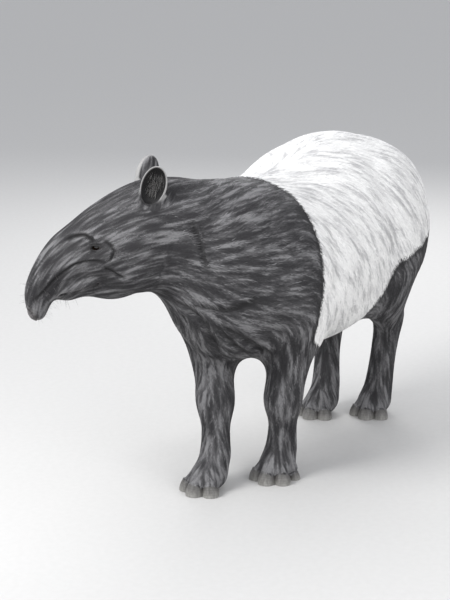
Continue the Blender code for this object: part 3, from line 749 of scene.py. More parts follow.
HEAD_CREASES = (
    # width, depth and the points of a line in the head's frame, on both sides
    # brow, in front of and above the eye
    (
        0.0062, 0.0048,
        (0.362, 0.044, 0.856), (0.335, 0.056, 0.874), (0.308, 0.068, 0.880),
        (0.284, 0.078, 0.873), (0.268, 0.084, 0.862),
    ),
    # cheek, behind the eye
    (
        0.0045, 0.0032,
        (0.245, 0.092, 0.868), (0.222, 0.108, 0.850), (0.215, 0.110, 0.828), (0.232, 0.105, 0.800),
    ),
    # from the trunk back under the eye to the cheek
    (
        0.0045, 0.003,
        (0.468, 0.035, 0.660), (0.430, 0.050, 0.700), (0.390, 0.058, 0.745),
        (0.335, 0.070, 0.788), (0.275, 0.095, 0.805), (0.232, 0.105, 0.798),
    ),
    # corner of the mouth
    (0.005, 0.0035, (0.245, 0.095, 0.790), (0.215, 0.110, 0.770), (0.185, 0.125, 0.745)),
    # under the eye
    (0.0032, 0.0018, (0.290, 0.078, 0.832), (0.268, 0.088, 0.826), (0.244, 0.092, 0.834)),
)
normals = mesh_normals(hide_mesh)
move = np.zeros(len(hide_points), np.float32)
for width, depth, *line in CREASES:
    move += crease(hide_points, onto_hide(line), width, depth)
for lines, placed in ((HOLLOWS, mirrored), (HEAD_CREASES, in_head)):
    for width, depth, *line in lines:
        for side in (1, -1):
            move += crease(hide_points, onto_hide([placed(p, side) for p in line]), width, depth)

# Eyelids: a heavy upper lid and a slight lower one of bare skin, round the opening that is cut for each eye.
# Rim, fold and swelling are pressed along the eye's gaze.
LID_PROFILE = (
    # distance from the opening, width, height on the lower lid, what the upper lid adds: rim, fold, swelling
    (0.0012, 0.0018, 0.0008, 0.0),
    (0.0062, 0.0019, -0.0006, -0.0018),
    (0.0108, 0.0032, 0.0004, 0.0014),
)


def ramp(low, high, values):
    """Rises smoothly from 0 at low to 1 at high."""
    t = np.clip((values - low) / (high - low), 0, 1)
    return t * t * (3 - 2 * t)


def eye_frame(side):
    """Middle of an eyeball and its axes: the way it looks, sideways, up."""
    gaze = (HEAD_TURN @ Vector(mirrored(EYE_GAZE, side))).normalized()
    sideways = UP.cross(gaze).normalized()
    return np.array(in_head(EYE_PLACE, side)), np.array((gaze, sideways, gaze.cross(sideways)))


for side in (1, -1):
    centre, axes = eye_frame(side)
    ahead, wide, high = axes @ (hide_points - centre).T
    around = np.sqrt((wide / LID_WIDE) ** 2 + (high / LID_HIGH) ** 2)
    slope = np.sqrt((wide / LID_WIDE**2) ** 2 + (high / LID_HIGH**2) ** 2)
    edge = (around - 1) * around / np.maximum(slope, 1e-6)
    upper = ramp(-0.004, 0.006, high)
    lid = 0
    for out, width, low, more in LID_PROFILE:
        lid = lid + (low + more * upper) * np.exp(-(((edge - out) / width) ** 2))
    lid *= (ahead > 0) * ramp(0.026, 0.018, np.linalg.norm(hide_points - centre - axes[0] * 0.014, axis=1))
    hide_points += (lid[:, None] * axes[0]).astype(np.float32)

# Rings across the trunk, which is all muscle and wrinkles as it shortens. They run round it a finger's width
# apart, broken and uneven, and are deeper towards its tip.
RING_SPACING = 0.0125
RING_HEIGHT = 0.0005
SOLE_HEIGHT = 0.0008


def head_frame(points):
    """Points in the head's own frame: towards the nose, to its left, up."""
    offset = points - np.array(HEAD_FOOT, np.float32)
    return offset @ np.array([TO_NOSE, TO_CHEEK, UP], np.float32).T


forward, sideways, height = head_frame(hide_points).T
down_trunk = (forward - 0.36) * 0.55 + (0.79 - height) * 0.85
phase = down_trunk * 2 * np.pi / RING_SPACING
phase = phase + 2.4 * np.sin(sideways * 47 + height * 31) + 1.9 * np.sin(height * 83)
rings = np.sin(phase) * (0.6 + 0.4 * np.sin(sideways * 110 + down_trunk * 260))
on_trunk = ramp(0.375, 0.44, forward) * ramp(0.60, 0.64, height)
move += RING_HEIGHT * rings * on_trunk * ramp(-0.02, 0.05, down_trunk)
hide_points += normals * move[:, None]
hide_points[:, 2] = np.maximum(hide_points[:, 2], SOLE_HEIGHT)
set_points(hide_mesh, hide_points)
hide_mesh.shade_smooth()

# The coat's markings: black before the shoulder line and on the legs, greyish white from there over the rump,
# grown in the hair itself. The line under the flank runs from behind the rump along the thigh to the belly.
FLANK_LINE = (
    # x, z: from behind the rump to the belly
    (-0.90, 0.790), (-0.76, 0.765), (-0.60, 0.722), (-0.445, 0.684), (-0.300, 0.655),
    (-0.262, 0.600), (-0.233, 0.540), (-0.190, 0.500), (-0.170, 0.440), (-0.165, 0.300),
)
SHOULDER_LINE = 0.243


def saddle_depth(points):
    """How far points lie inside the white, in metres. Its border waves a little, hangs lower in the middle of
    the rump, and sweeps back under the belly."""
    x, y, z = points.T
    flat = points[:, [0, 2]]
    flat[:, 1] += 0.007 * np.sin(y * 43 + 1.3) + 0.004 * np.sin(y * 97 + x * 60)
    flat[:, 1] += 0.045 * ramp(-0.45, -0.70, x) * ramp(0.20, 0.0, np.abs(y))
    line = smooth_rows(FLANK_LINE, 4)
    gap, start, _ = nearest(flat, line)
    step, offset = line[start + 1] - line[start], flat - line[start]
    flank = np.sqrt(gap) * np.sign(step[:, 0] * offset[:, 1] - step[:, 1] * offset[:, 0])
    wave = 0.010 * np.sin(z * 9 + 1.0) + 0.012 * ramp(0.80, 1.0, z)
    return np.minimum(flank, SHOULDER_LINE + wave - 0.14 * ramp(0.495, 0.405, z) - x)


# The lie of the coat: short hair grows back along head, neck and barrel, down the rump, flanks and legs, and
# up the ears. Locks and streaks both follow it.
LEG_LINES = {name: np.array(leg[3] + (leg[4],), np.float32) for name, leg in LEGS.items()}


def head_share(points, low, high):
    """How far points belong to the head, from 0 to 1 between two distances towards the nose."""
    on_head = ramp(low, high, head_frame(points)[:, 0]) * ramp(0.50, 0.60, points[:, 2])
    return on_head * ramp(0.34, 0.44, points[:, 0])


def turned(lie, way, share):
    """The lie of the hair turned towards another way, by a share of it at each point."""
    return (lie + (np.array(way, np.float32) - lie) * share[:, None]).astype(np.float32)


def coat_lie(points, normals):
    """The way the hair lies at points of the hide, as unit vectors along it."""
    skull_line = np.array([station[0] for station in skull], np.float32)
    from_nose = np.gradient(skull_line, axis=0)
    from_nose /= -np.linalg.norm(from_nose, axis=1, keepdims=True)
    along = to_line(points, skull_line)[1] * (len(skull_line) - 1)
    start = np.minimum(along.astype(int), len(skull_line) - 2)
    share = (along - start)[:, None]
    lie = np.tile(np.array((-1.0, 0, -0.12), np.float32), (len(points), 1))
    from_nose = from_nose[start] * (1 - share) + from_nose[start + 1] * share
    lie = turned(lie, from_nose, head_share(points, -0.10, 0.12))
    lie = turned(lie, (-0.05, 0, -1.0), ramp(-0.40, -0.62, points[:, 0]))
    lie = turned(lie, (-0.45, 0, -1.0), ramp(-0.10, 0.03, saddle_depth(points)) * 0.75)
    for name, line in LEG_LINES.items():
        top = 0.58 if "fore" in name else 0.66
        on_leg = ramp(0.20, 0.11, to_line(points, line)[0]) * ramp(top + 0.05, top - 0.12, points[:, 2])
        lie = turned(lie, (-0.10, 0, -1.0), on_leg)
    for side in (1, -1):
        centre, turn = ear_frame(side)
        from_ear = np.linalg.norm(points - np.array(centre, np.float32), axis=1)
        lie = turned(lie, turn.col[2], ramp(0.085, 0.070, from_ear))
    lie -= normals * (lie * normals).sum(axis=1, keepdims=True)
    return lie / np.maximum(np.linalg.norm(lie, axis=1, keepdims=True), 1e-6)


# Streaks: the hair lies in locks of lighter and darker grey, each drawn out along the lie of the coat, and
# the lighter streaks are partly painted sheen. They are noise, fixed in the animal and smeared along that
# lie, and the hair over the hooves is paler.
STREAK_LOW = np.array((-0.95, -0.60, -0.10))
STREAK_SIZE = (1.95, 1.15, 1.35)


def streak_field(voxel, seed):
    count = [int(size / voxel) for size in STREAK_SIZE]
    return np.random.default_rng(seed).normal(size=count).astype(np.float32)


STREAKS = (
    # noise, its grain, half length of a lock, share
    (streak_field(0.005, 11), 0.005, 0.045, 0.62),
    (streak_field(0.012, 12), 0.012, 0.085, 0.50),
)


def streaks(points, lie):
    """Light and dark of the locks, with their painted sheen, at points of the hide, about 0 to 1."""
    total = np.zeros(len(points), np.float32)
    for field, voxel, reach, strength in STREAKS:
        steps = np.arange(-reach, reach + voxel / 2, voxel)
        weights = np.cos(steps / reach * np.pi / 2) ** 2 + 0.02
        here = np.zeros(len(points), np.float32)
        for step, weight in zip(steps, weights):
            here += weight * sampled(field, STREAK_LOW, voxel, points + lie * np.float32(step))
        total += strength * here / np.sqrt((weights**2).sum())
    total += 0.7 * ramp(0.110, 0.030, points[:, 2])
    return 1 / (1 + np.exp(-1.9 * total))


def ear_marks(points, normals):
    """How much of each point is the pale rim of an ear, and how much the inside of its cup, which is coloured
    near black.
    """
    rim = np.zeros(len(points), np.float32)
    cup = np.zeros(len(points), np.float32)
    for side in (1, -1):
        centre, turn = ear_frame(side)
        local = (points - np.array(centre, np.float32)) @ np.array(turn, np.float32)
        facing = normals @ np.array(turn.col[0], np.float32)
        there = (np.abs(local) < np.array((0.034, 0.052, 0.080))).all(axis=1)
        round_ear = np.hypot(local[:, 1] / EAR_RADII[1], (local[:, 2] - 0.002) / EAR_RADII[2])
        above_root = ramp(-0.045, -0.020, local[:, 2])
        on_rim = ramp(0.82, 0.92, round_ear) * ramp(1.16, 1.06, round_ear)
        on_rim = on_rim * ramp(0.024, 0.016, np.abs(local[:, 0]))
        rim = np.maximum(rim, there * on_rim * above_root)
        cup = np.maximum(cup, there * ramp(0.90, 0.82, round_ear) * ramp(-0.15, 0.15, facing))
    return rim, cup


BARE_SPOTS = (
    # place in the head's frame on both sides, reach: nostrils, the trunk's tip, the chin
    ((0.472, 0.012, 0.618), 0.034),
    ((0.455, 0.020, 0.590), 0.026),
    ((0.385, 0.020, 0.682), 0.020),
)


def near_lids(points, side, margin_wide, margin_high):
    """Distance from the middle of an eye's opening: 1 on an oval outside the lids by the margins."""
    centre, axes = eye_frame(side)
    ahead, wide, high = axes @ (points - centre).T
    oval = np.hypot(wide / (LID_WIDE + margin_wide), high / (LID_HIGH + margin_high))
    return np.where((ahead > 0) & (ahead < 0.03), oval, np.inf)


def bareness(points):
    """Where the hide has no hair: the trunk's tip, the lips, the lids' edges and the soles."""
    bare = ramp(0.012, 0.004, points[:, 2])
    for place, reach in BARE_SPOTS:
        for side in (1, -1):
            spot = np.array(in_head(place, side), np.float32)
            bare = np.maximum(bare, ramp(reach, reach * 0.5, np.linalg.norm(points - spot, axis=1)))
    for side in (1, -1):
        line = smooth_rows([in_head(p, side) for p in MOUTH_LINE], 3).astype(np.float32)
        bare = np.maximum(bare, ramp(0.009, 0.004, to_line(points, line)[0]))
        bare = np.maximum(bare, ramp(1.15, 0.9, near_lids(points, side, 0.004, 0.004)))
    return bare


def painted_crease_shade(points):
    """Painted shade in the creases of the hide and round the lids of each eye, from 0 to 1: how deep each
    point lies in a crease, or how near it is to a lid.
    """
    fold = np.zeros(len(points), np.float32)
    for line, width in SHADED_CREASES:
        low, high = line.min(axis=0) - 3 * width, line.max(axis=0) + 3 * width
        near = np.nonzero(((points > low) & (points < high)).all(axis=1))[0]
        gap, along = to_line(points[near], line)
        fade = np.clip(np.minimum(along, 1 - along) * 7, 0, 1) ** 0.7
        depth = np.minimum(1.9 * np.exp(-((gap / (0.95 * width)) ** 2)), 1) * min(1, FULL_SHADE_WIDTH / width)
        fold[near] = np.maximum(fold[near], fade * depth)
    # A patch of painted shade round each eye, reaching out past its lids.
    for side in (1, -1):
        fold = np.maximum(fold, ramp(1.25, 0.70, near_lids(points, side, 0.009, 0.008)))
    return fold


def set_attribute(mesh, name, values):
    held = mesh.attributes.new(name, "FLOAT", "POINT")
    held.data.foreach_set("value", np.asarray(values, np.float32))


def coat_marks(points, normals, lie):
    """The coat's markings by name, one value a point."""
    rim, cup = ear_marks(points, normals)
    return {
        "saddle": saddle_depth(points),
        "streak_and_sheen": streaks(points, lie),
        "ear_rim": rim,
        "ear_cup": cup,
        "bare": bareness(points),
        # fold: painted shade in the creases and round the eyes
        "fold": painted_crease_shade(points),
    }


hide_normals = mesh_normals(hide_mesh)
hide_marks = coat_marks(hide_points, hide_normals, coat_lie(hide_points, hide_normals))
for name, values in hide_marks.items():
    set_attribute(hide_mesh, name, values)


class Finish:
    """A material with its nodes, or a group of nodes that several materials share."""

    def __init__(self, name, group=False):
        if group:
            self.tree = bpy.data.node_groups.new(name, "ShaderNodeTree")
            self.inlet = self.tree.nodes.new("NodeGroupInput")
            self.outlet = self.tree.nodes.new("NodeGroupOutput")
            return
        self.material = bpy.data.materials.new(name)
        self.material.use_nodes = True
        self.tree = self.material.node_tree
        self.shader = self.tree.nodes["Principled BSDF"]

    def socket(self, name, kind, way="INPUT", default=None):
        made = self.tree.interface.new_socket(name=name, in_out=way, socket_type=kind)
        if default is not None:
            made.default_value = default

    def node(self, kind, values=(), **settings):
        """A node with its settings, and with values or links for its inputs by name or number."""
        made = self.tree.nodes.new(kind)
        for key, value in settings.items():
            setattr(made, key, value)
        for key, value in dict(values).items():
            self.put(made.inputs[key], value)
        return made

    def put(self, socket, value):
        if isinstance(value, bpy.types.NodeSocket):
            self.tree.links.new(value, socket)
        else:
            socket.default_value = value

    def maths(self, operation, first, second=0.0, third=0.0):
        made = self.node("ShaderNodeMath", {0: first, 1: second, 2: third}, operation=operation)
        return made.outputs[0]

    def fade(self, value, low, high):
        """0 below low, 1 above high, smooth between."""
        values = {"Value": value, "From Min": low, "From Max": high}
        return self.node("ShaderNodeMapRange", values, interpolation_type="SMOOTHSTEP").outputs[0]

    def noise(self, scale, detail=2.0, stretch=(1, 1, 1)):
        place = self.node("ShaderNodeTexCoord").outputs["Object"]
        if stretch != (1, 1, 1):
            place = self.node("ShaderNodeMapping", {"Vector": place, "Scale": stretch}).outputs[0]
        values = {"Vector": place, "Scale": scale, "Detail": detail}
        return self.node("ShaderNodeTexNoise", values).outputs[0]

    def mixed(self, share, first, second):
        """The first colour, and the second by a share of it."""
        made = self.node("ShaderNodeMix", {0: share}, data_type="RGBA")
        for number, colour in ((6, first), (7, second)):
            linked = isinstance(colour, bpy.types.NodeSocket)
            self.put(made.inputs[number], colour if linked else (*colour, 1))
        return made.outputs[2]

    def shades(self, value, stops):
        """A colour that runs through the stops, each (place, colour)."""
        made = self.node("ShaderNodeValToRGB", {0: value})
        ramp_stops = made.color_ramp.elements
        while len(ramp_stops) < len(stops):
            ramp_stops.new(0.5)
        for stop, (place, colour) in zip(ramp_stops, stops):
            stop.position = place
            stop.color = (*colour, 1)
        return made.outputs[0]

    def attribute(self, name):
        return self.node("ShaderNodeAttribute", attribute_name=name).outputs["Fac"]

    def bump(self, height, distance, strength=1.0):
        values = {"Height": height, "Distance": distance, "Strength": strength}
        self.put(self.shader.inputs["Normal"], self.node("ShaderNodeBump", values).outputs[0])


# The coat's colours, the same in hair and hide: charcoal to grey by the streaks, whose lighter greys are
# partly painted sheen, greyish white over the rump, darkest along the white's edge and near black inside the
# ears, with painted shade in the creases and round the eyes, and pale rims to the ears.
coat_paint = Finish("coat_paint", group=True)
for name in ("Saddle", "Streak_and_sheen", "Shade", "Rim", "Cup", "Bare", "Crease_shade"):
    coat_paint.socket(name, "NodeSocketFloat", default=0.5 if name in ("Streak_and_sheen", "Shade") else 0.0)
coat_paint.socket("Color", "NodeSocketColor", "OUTPUT")
coat_paint.socket("Roughness", "NodeSocketFloat", "OUTPUT")
given = coat_paint.inlet.outputs
ragged = coat_paint.maths("MULTIPLY_ADD", coat_paint.noise(150), 0.016, -0.008)
edge = coat_paint.maths("ADD", given["Saddle"], ragged)
white = coat_paint.fade(edge, -0.0015, 0.0015)
# The black coat by the streaks, charcoal to grey; its lighter greys are partly painted sheen.
dark = coat_paint.shades(
    given["Streak_and_sheen"],
    (
        (0.14, (0.016, 0.015, 0.017)),
        (0.42, (0.034, 0.033, 0.035)),
        (0.64, (0.076, 0.074, 0.077)),
        (0.88, (0.185, 0.183, 0.187)),
    ),
)
# The white by the same streaks, its lighter and darker greys partly painted sheen.
pale = coat_paint.shades(
    given["Streak_and_sheen"],
    ((0.10, (0.44, 0.435, 0.44)), (0.34, (0.62, 0.615, 0.61)), (0.62, (0.77, 0.765, 0.755))),
)
beside_white = coat_paint.maths("SUBTRACT", 1.0, white)
beside_white = coat_paint.maths("MULTIPLY", coat_paint.fade(edge, -0.027, -0.012), beside_white)
dark = coat_paint.mixed(coat_paint.maths("MULTIPLY", beside_white, 0.88), dark, (0.012, 0.011, 0.012))
dark = coat_paint.mixed(given["Bare"], dark, coat_paint.mixed(0.5, dark, (0.075, 0.066, 0.064)))
# Painted shade, near black, in the creases of the hide and round the eyes.
dark = coat_paint.mixed(coat_paint.maths("MULTIPLY", given["Crease_shade"], 0.93), dark, (0.006, 0.0055, 0.006))
# Near black inside the cups of the ears.
dark = coat_paint.mixed(given["Cup"], dark, (0.006, 0.0055, 0.006))
dark = coat_paint.mixed(given["Rim"], dark, (0.36, 0.355, 0.35))
# Painted shade in the creases, fainter on the white.
pale = coat_paint.mixed(coat_paint.maths("MULTIPLY", given["Crease_shade"], 0.55), pale, (0.20, 0.197, 0.20))
colour = coat_paint.mixed(white, dark, pale)
shade = coat_paint.maths("MULTIPLY_ADD", given["Shade"], 0.5, 0.75)
colour = coat_paint.node("ShaderNodeVectorMath", {0: colour, "Scale": shade}, operation="SCALE").outputs[0]
coat_paint.put(coat_paint.outlet.inputs["Color"], colour)
rough = coat_paint.maths("MULTIPLY_ADD", coat_paint.noise(60), 0.2, 0.5)
rough = coat_paint.maths("MULTIPLY_ADD", given["Bare"], -0.12, rough)
coat_paint.put(coat_paint.outlet.inputs["Roughness"], rough)


def coat_material(name, shade):
    """A material in the coat's colours. shade is the attribute that varies it from hair to hair, or None."""
    made = Finish(name)
    paint = made.node("ShaderNodeGroup", node_tree=coat_paint.tree)
    for socket, mark in zip(("Saddle", "Streak_and_sheen", "Rim", "Cup", "Bare", "Crease_shade"), hide_marks):
        made.put(paint.inputs[socket], made.attribute(mark))
    made.put(paint.inputs["Shade"], made.attribute(shade) if shade else made.noise(320, 3.0))
    made.put(made.shader.inputs["Base Color"], paint.outputs["Color"])
    made.put(made.shader.inputs["Roughness"], paint.outputs["Roughness"])
    made.put(made.shader.inputs["Specular IOR Level"], 0.35)
    return made


hide_finish = coat_material("hide", None)
grain = hide_finish.maths("MULTIPLY_ADD", hide_finish.noise(260, 4.0), 1.0, hide_finish.noise(900, 2.0))
hide_finish.bump(grain, 0.0012, 0.6)
hide_mesh.materials.append(hide_finish.material)


# The hide stands in for every solid of flesh, in one piece from nose to hoof. Every piece moves to where the
# solids stand: their left eye says how far that is from the place where it is made.
eye_low, eye_high = (np.array(corner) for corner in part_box("eye_left"))
SHIFT = ((eye_low + eye_high) / 2 - np.array(in_head(EYE_PLACE))).astype(np.float32)
SHIFT[2] = 0


def stand(name, mesh, nodes=()):
    """Stands a finished mesh among the solids, in place of some of them."""
    set_points(mesh, mesh_points(mesh) + SHIFT)
    piece = bpy.data.objects.new(name, mesh)
    bpy.context.scene.collection.objects.link(piece)
    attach(piece, "root")
    if nodes:
        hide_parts(*nodes)
    return piece


flesh_nodes = [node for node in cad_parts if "hoof" not in node and "eye" not in node]
stand("hide", hide_mesh, flesh_nodes)

# Eyes: wet dark balls with a brown iris round a wide pupil, glossy under the film of tears. Each sits in its
# socket, and its cornea swells a little out between the lids.
CORNEA_SWELL = 0.0014
BALL_RADIUS = EYE_RADIUS + 0.0010
EYE_COLOURS = (
    # from the gaze outward: pupil, iris, the iris's rim, the white
    (0.20, (0.002, 0.002, 0.003)),
    (0.25, (0.040, 0.019, 0.010)),
    (0.44, (0.070, 0.036, 0.018)),
    (0.54, (0.012, 0.007, 0.005)),
    (0.70, (0.06, 0.045, 0.036)),
)
eye_finish = Finish("eye")
iris = eye_finish.shades(eye_finish.attribute("from_gaze"), EYE_COLOURS)
eye_finish.put(eye_finish.shader.inputs["Base Color"], iris)
eye_finish.put(eye_finish.shader.inputs["Roughness"], 0.06)
eye_finish.put(eye_finish.shader.inputs["Coat Weight"], 1.0)
eye_finish.put(eye_finish.shader.inputs["Coat Roughness"], 0.02)
for word, side in (("left", 1), ("right", -1)):
    bm = bmesh.new()
    bmesh.ops.create_uvsphere(bm, u_segments=48, v_segments=32, radius=BALL_RADIUS)
    ball = bpy.data.meshes.new(f"eyeball_{word}")
    bm.to_mesh(ball)
    bm.free()
    points = mesh_points(ball)
    centre, axes = eye_frame(side)
    angle = np.arccos(np.clip(points @ axes[0] / BALL_RADIUS, -1, 1))
    swell = 1 + CORNEA_SWELL / EYE_RADIUS * ramp(0.75, 0.35, angle)
    set_points(ball, points * swell[:, None] + centre)
    set_attribute(ball, "from_gaze", angle / 1.5)
    ball.materials.append(eye_finish.material)
    ball.shade_smooth()
    stand(f"eyeball_{word}", ball, [f"eye_{word}"])

# Hooves: a wall of grey horn round the front of each toe, steep in front and low behind, with fine growth
# lines, and spread and worn pale where it meets the ground.
HOOF_ROWS = 18
HOOF_SPOKES = 56
# How far the ground rim and the coronet reach ahead, behind and to each side.
HOOF_GROUND = (0.0350, 0.026, 0.0275)
HOOF_CORONET = (0.0250, 0.020, 0.0225)
CORONET_HEIGHT = 0.0245
CORONET_SLANT = 0.0150
CORONET_FORWARD = 0.0045
GROUND_FORWARD = 0.0100
HORN_COLOURS = (
    (0.18, (0.040, 0.038, 0.036)),
    (0.42, (0.090, 0.086, 0.081)),
    (0.66, (0.190, 0.185, 0.174)),
    (0.90, (0.34, 0.332, 0.312)),
)
horn = Finish("horn")
down_wall = horn.attribute("down_wall")
grain = horn.noise(150, 4.0, (1, 1, 0.30))
tone = horn.maths("MULTIPLY_ADD", grain, 0.50, horn.maths("MULTIPLY", down_wall, 0.50))
tone = horn.maths("MULTIPLY_ADD", horn.attribute("growth"), 0.045, tone)
horn.put(horn.shader.inputs["Base Color"], horn.shades(tone, HORN_COLOURS))
horn.put(horn.shader.inputs["Roughness"], horn.maths("MULTIPLY_ADD", grain, 0.3, 0.34))
horn.bump(horn.maths("MULTIPLY_ADD", horn.noise(700, 2.0, (1, 1, 0.3)), 0.6, grain), 0.0007, 0.5)


def toe_frame(centre, axes):
    """The point under the middle of a toe, and the ways ahead, across and up."""
    ahead = Vector((axes.col[0].x, axes.col[0].y, 0)).normalized()
    return np.array((centre.x, centre.y, 0)), np.array((ahead, UP.cross(ahead), UP))


def hoof_ring(turn, reaches):
    """Points of a hoof's outline, ahead and across, a little squarer than an ellipse."""
    ahead, behind, half = reaches
    front, across = (np.sign(way) * np.abs(way) ** 0.85 for way in (np.cos(turn), np.sin(turn)))
    return np.stack([np.where(front > 0, ahead, behind) * front, half * across], axis=-1)


def coronet_height(turn):
    return CORONET_HEIGHT + CORONET_SLANT * np.cos(turn)


def hoof(name, centre, axes, size):
    """A hoof in rows from its coronet to the ground, and on to the middle of its sole."""
    turn = np.linspace(0, 2 * np.pi, HOOF_SPOKES, endpoint=False)
    coronet = hoof_ring(turn, HOOF_CORONET) + (CORONET_FORWARD, 0)
    ground = hoof_ring(turn, HOOF_GROUND) + (GROUND_FORWARD, 0)
    top = coronet_height(turn)
    share = np.linspace(0, 1, HOOF_ROWS)
    growth = np.sin(share * 52 + 2.0 * np.sin(share * 9))
    rows = [np.column_stack([coronet * 0.84, top + 0.0004]), np.column_stack([coronet * 0.95, top + 0.0012])]
    for t, wave in zip(share, growth):
        flat = coronet + (ground - coronet) * (0.75 * t + 0.25 * t**2)
        out = 1 + 0.13 * math.sin(math.pi * (0.12 + 0.88 * t)) + 0.003 * wave
        rows.append(np.column_stack([flat * out, top * (1 - t)]))
    rows[-1][:, 2] = 0.0012
    rows.append(np.column_stack([ground * 0.965, top * 0]))
    tones = [0.0, 0.0, *share, 1.0]
    foot, ways = toe_frame(centre, axes)
    points = np.vstack([*rows, rows[0].mean(axis=0), rows[-1].mean(axis=0)]) * size @ ways + foot
    faces = []
    last, middle = (len(rows) - 1) * HOOF_SPOKES, len(rows) * HOOF_SPOKES
    for spoke in range(HOOF_SPOKES):
        other = (spoke + 1) % HOOF_SPOKES
        for here in range(0, last, HOOF_SPOKES):
            there = here + HOOF_SPOKES
            faces.append((here + other, here + spoke, there + spoke, there + other))
        faces.append((spoke, other, middle))
        faces.append((last + other, last + spoke, middle + 1))
    made = bpy.data.meshes.new(name)
    made.from_pydata(points.tolist(), [], faces)
    set_attribute(made, "down_wall", np.append(np.repeat(tones, HOOF_SPOKES), (0, 1)))
    set_attribute(made, "growth", np.append(np.repeat([0, 0, *growth, 0], HOOF_SPOKES), (0, 0)))
    made.materials.append(horn.material)
    made.shade_smooth()
    return made


for name in LEGS:
    for number, (centre, axes, size) in enumerate(toes_of(name), start=1):
        piece = f"horn_{name}_{number}"
        stand(piece, hoof(piece, centre, axes, size), [f"{name}_hoof_{number}"])

# Coat: short close hair in thin flat locks, rooted in the hide and lying along it. It is longest over the
# back and barrel and shortest on face, ears and feet.
TUFTS = 232000
TUFT_WIDE = 0.115
LONGEST_HAIR = 0.021
STRAY = math.radians(9)


def hair_sizes(points):
    """Length of the hair at points of the hide, and how many of its own widths of hide it covers."""
    head = head_share(points, -0.06, 0.08)
    face = ramp(0.20, 0.42, head_frame(points)[:, 0]) * head
    leg = np.zeros(len(points), np.float32)
    for line in LEG_LINES.values():
        near_leg = ramp(0.20, 0.12, to_line(points, line)[0]) * ramp(0.62, 0.44, points[:, 2])
        leg = np.maximum(leg, near_leg)
    foot = ramp(0.16, 0.06, points[:, 2])
    ear = np.zeros(len(points), np.float32)
    for side in (1, -1):
        centre = np.array(ear_frame(side)[0], np.float32)
        ear = np.maximum(ear, ramp(0.090, 0.075, np.linalg.norm(points - centre, axis=1)))
    length = np.full(len(points), LONGEST_HAIR, np.float32)
    cover = np.full(len(points), 1.35, np.float32)
    for share, longer, denser in (
        (head, 0.0105, 1.0),
        (face, 0.0070, 0.80),
        (leg, 0.0150, 1.0),
        (foot, 0.0085, 0.85),
        (ear, 0.0065, 0.80),
    ):
        length += (longer - length) * share
        cover += (denser - cover) * share
    return length, cover


hide_mesh.calc_loop_triangles()
corners = np.empty(len(hide_mesh.loop_triangles) * 3, np.int32)
hide_mesh.loop_triangles.foreach_get("vertices", corners)
corners = corners.reshape(-1, 3)
hide_points = mesh_points(hide_mesh) - SHIFT
one, two, three = (hide_points[corners[:, k]] for k in range(3))
area = np.linalg.norm(np.cross(two - one, three - one), axis=1) / 2
middles = (one + two + three) / 3
length, cover = hair_sizes(middles)
wanted = area * cover / (length**2 * TUFT_WIDE / 2)
wanted *= ramp(0.75, 0.25, bareness(middles)) * (middles[:, 2] > 0.010)
total = np.cumsum(wanted)
chance = np.random.default_rng(21)
count = min(TUFTS, int(total[-1]))
spots = (np.arange(count) + chance.random(count)) / count * total[-1]
picked = corners[np.minimum(np.searchsorted(total, spots), len(corners) - 1)]
first, second = chance.random((2, count, 1))
over = first + second > 1
first, second = np.where(over, 1 - first, first), np.where(over, 1 - second, second)


def blended(values):
    """Values at the roots, between those at the corners of the triangles they grow from."""
    one, two, three = (values[picked[:, k]] for k in range(3))
    return one * (1 - first - second) + two * first + three * second


roots = blended(hide_points).astype(np.float32)
outward = blended(hide_normals)
outward = (outward / np.linalg.norm(outward, axis=1, keepdims=True)).astype(np.float32)
lie = coat_lie(roots, outward)
stray = chance.normal(0, STRAY, (count, 1)).astype(np.float32)
lie = lie * np.cos(stray) + np.cross(outward, lie) * np.sin(stray)
length = hair_sizes(roots)[0] * chance.uniform(0.75, 1.25, count).astype(np.float32)
across = np.cross(outward, lie) * (length * TUFT_WIDE / 2)[:, None]
hide_tree = BVHTree.FromPolygons(hide_points.tolist(), [face.vertices for face in hide_mesh.polygons])


def lying(points, lift):
    """Points laid down onto the hide, each lifted off it by its own height."""
    made = np.empty_like(points)
    for i, (point, rise) in enumerate(zip(points.tolist(), lift.tolist())):
        place, way, _, _ = hide_tree.find_nearest(point)
        made[i] = place + way * rise
    return made


bold = np.clip(length / LONGEST_HAIR, 0.35, 1)
middle = lying(roots + lie * length[:, None] * 0.42, bold * 0.0005)
tip = lying(roots + lie * length[:, None], bold * chance.uniform(0.0002, 0.0017, count).astype(np.float32))
ridge = middle + outward * (bold * 0.0006)[:, None]
tuft_points = np.stack([roots - outward * 0.0006, middle - across, ridge, middle + across, tip], axis=1)
TUFT_FACES = np.array(((0, 2, 1), (0, 3, 2), (4, 1, 2), (4, 2, 3), (0, 1, 3), (4, 3, 1)))
hair_shade = chance.normal(0.5, 0.16, (count, 1)) + np.array((-0.20, -0.02, 0.08, -0.02, 0.16))
marks = coat_marks(roots, outward, lie)
marks["streak_and_sheen"] = np.clip(marks["streak_and_sheen"] + chance.normal(0, 0.07, count), 0, 1)

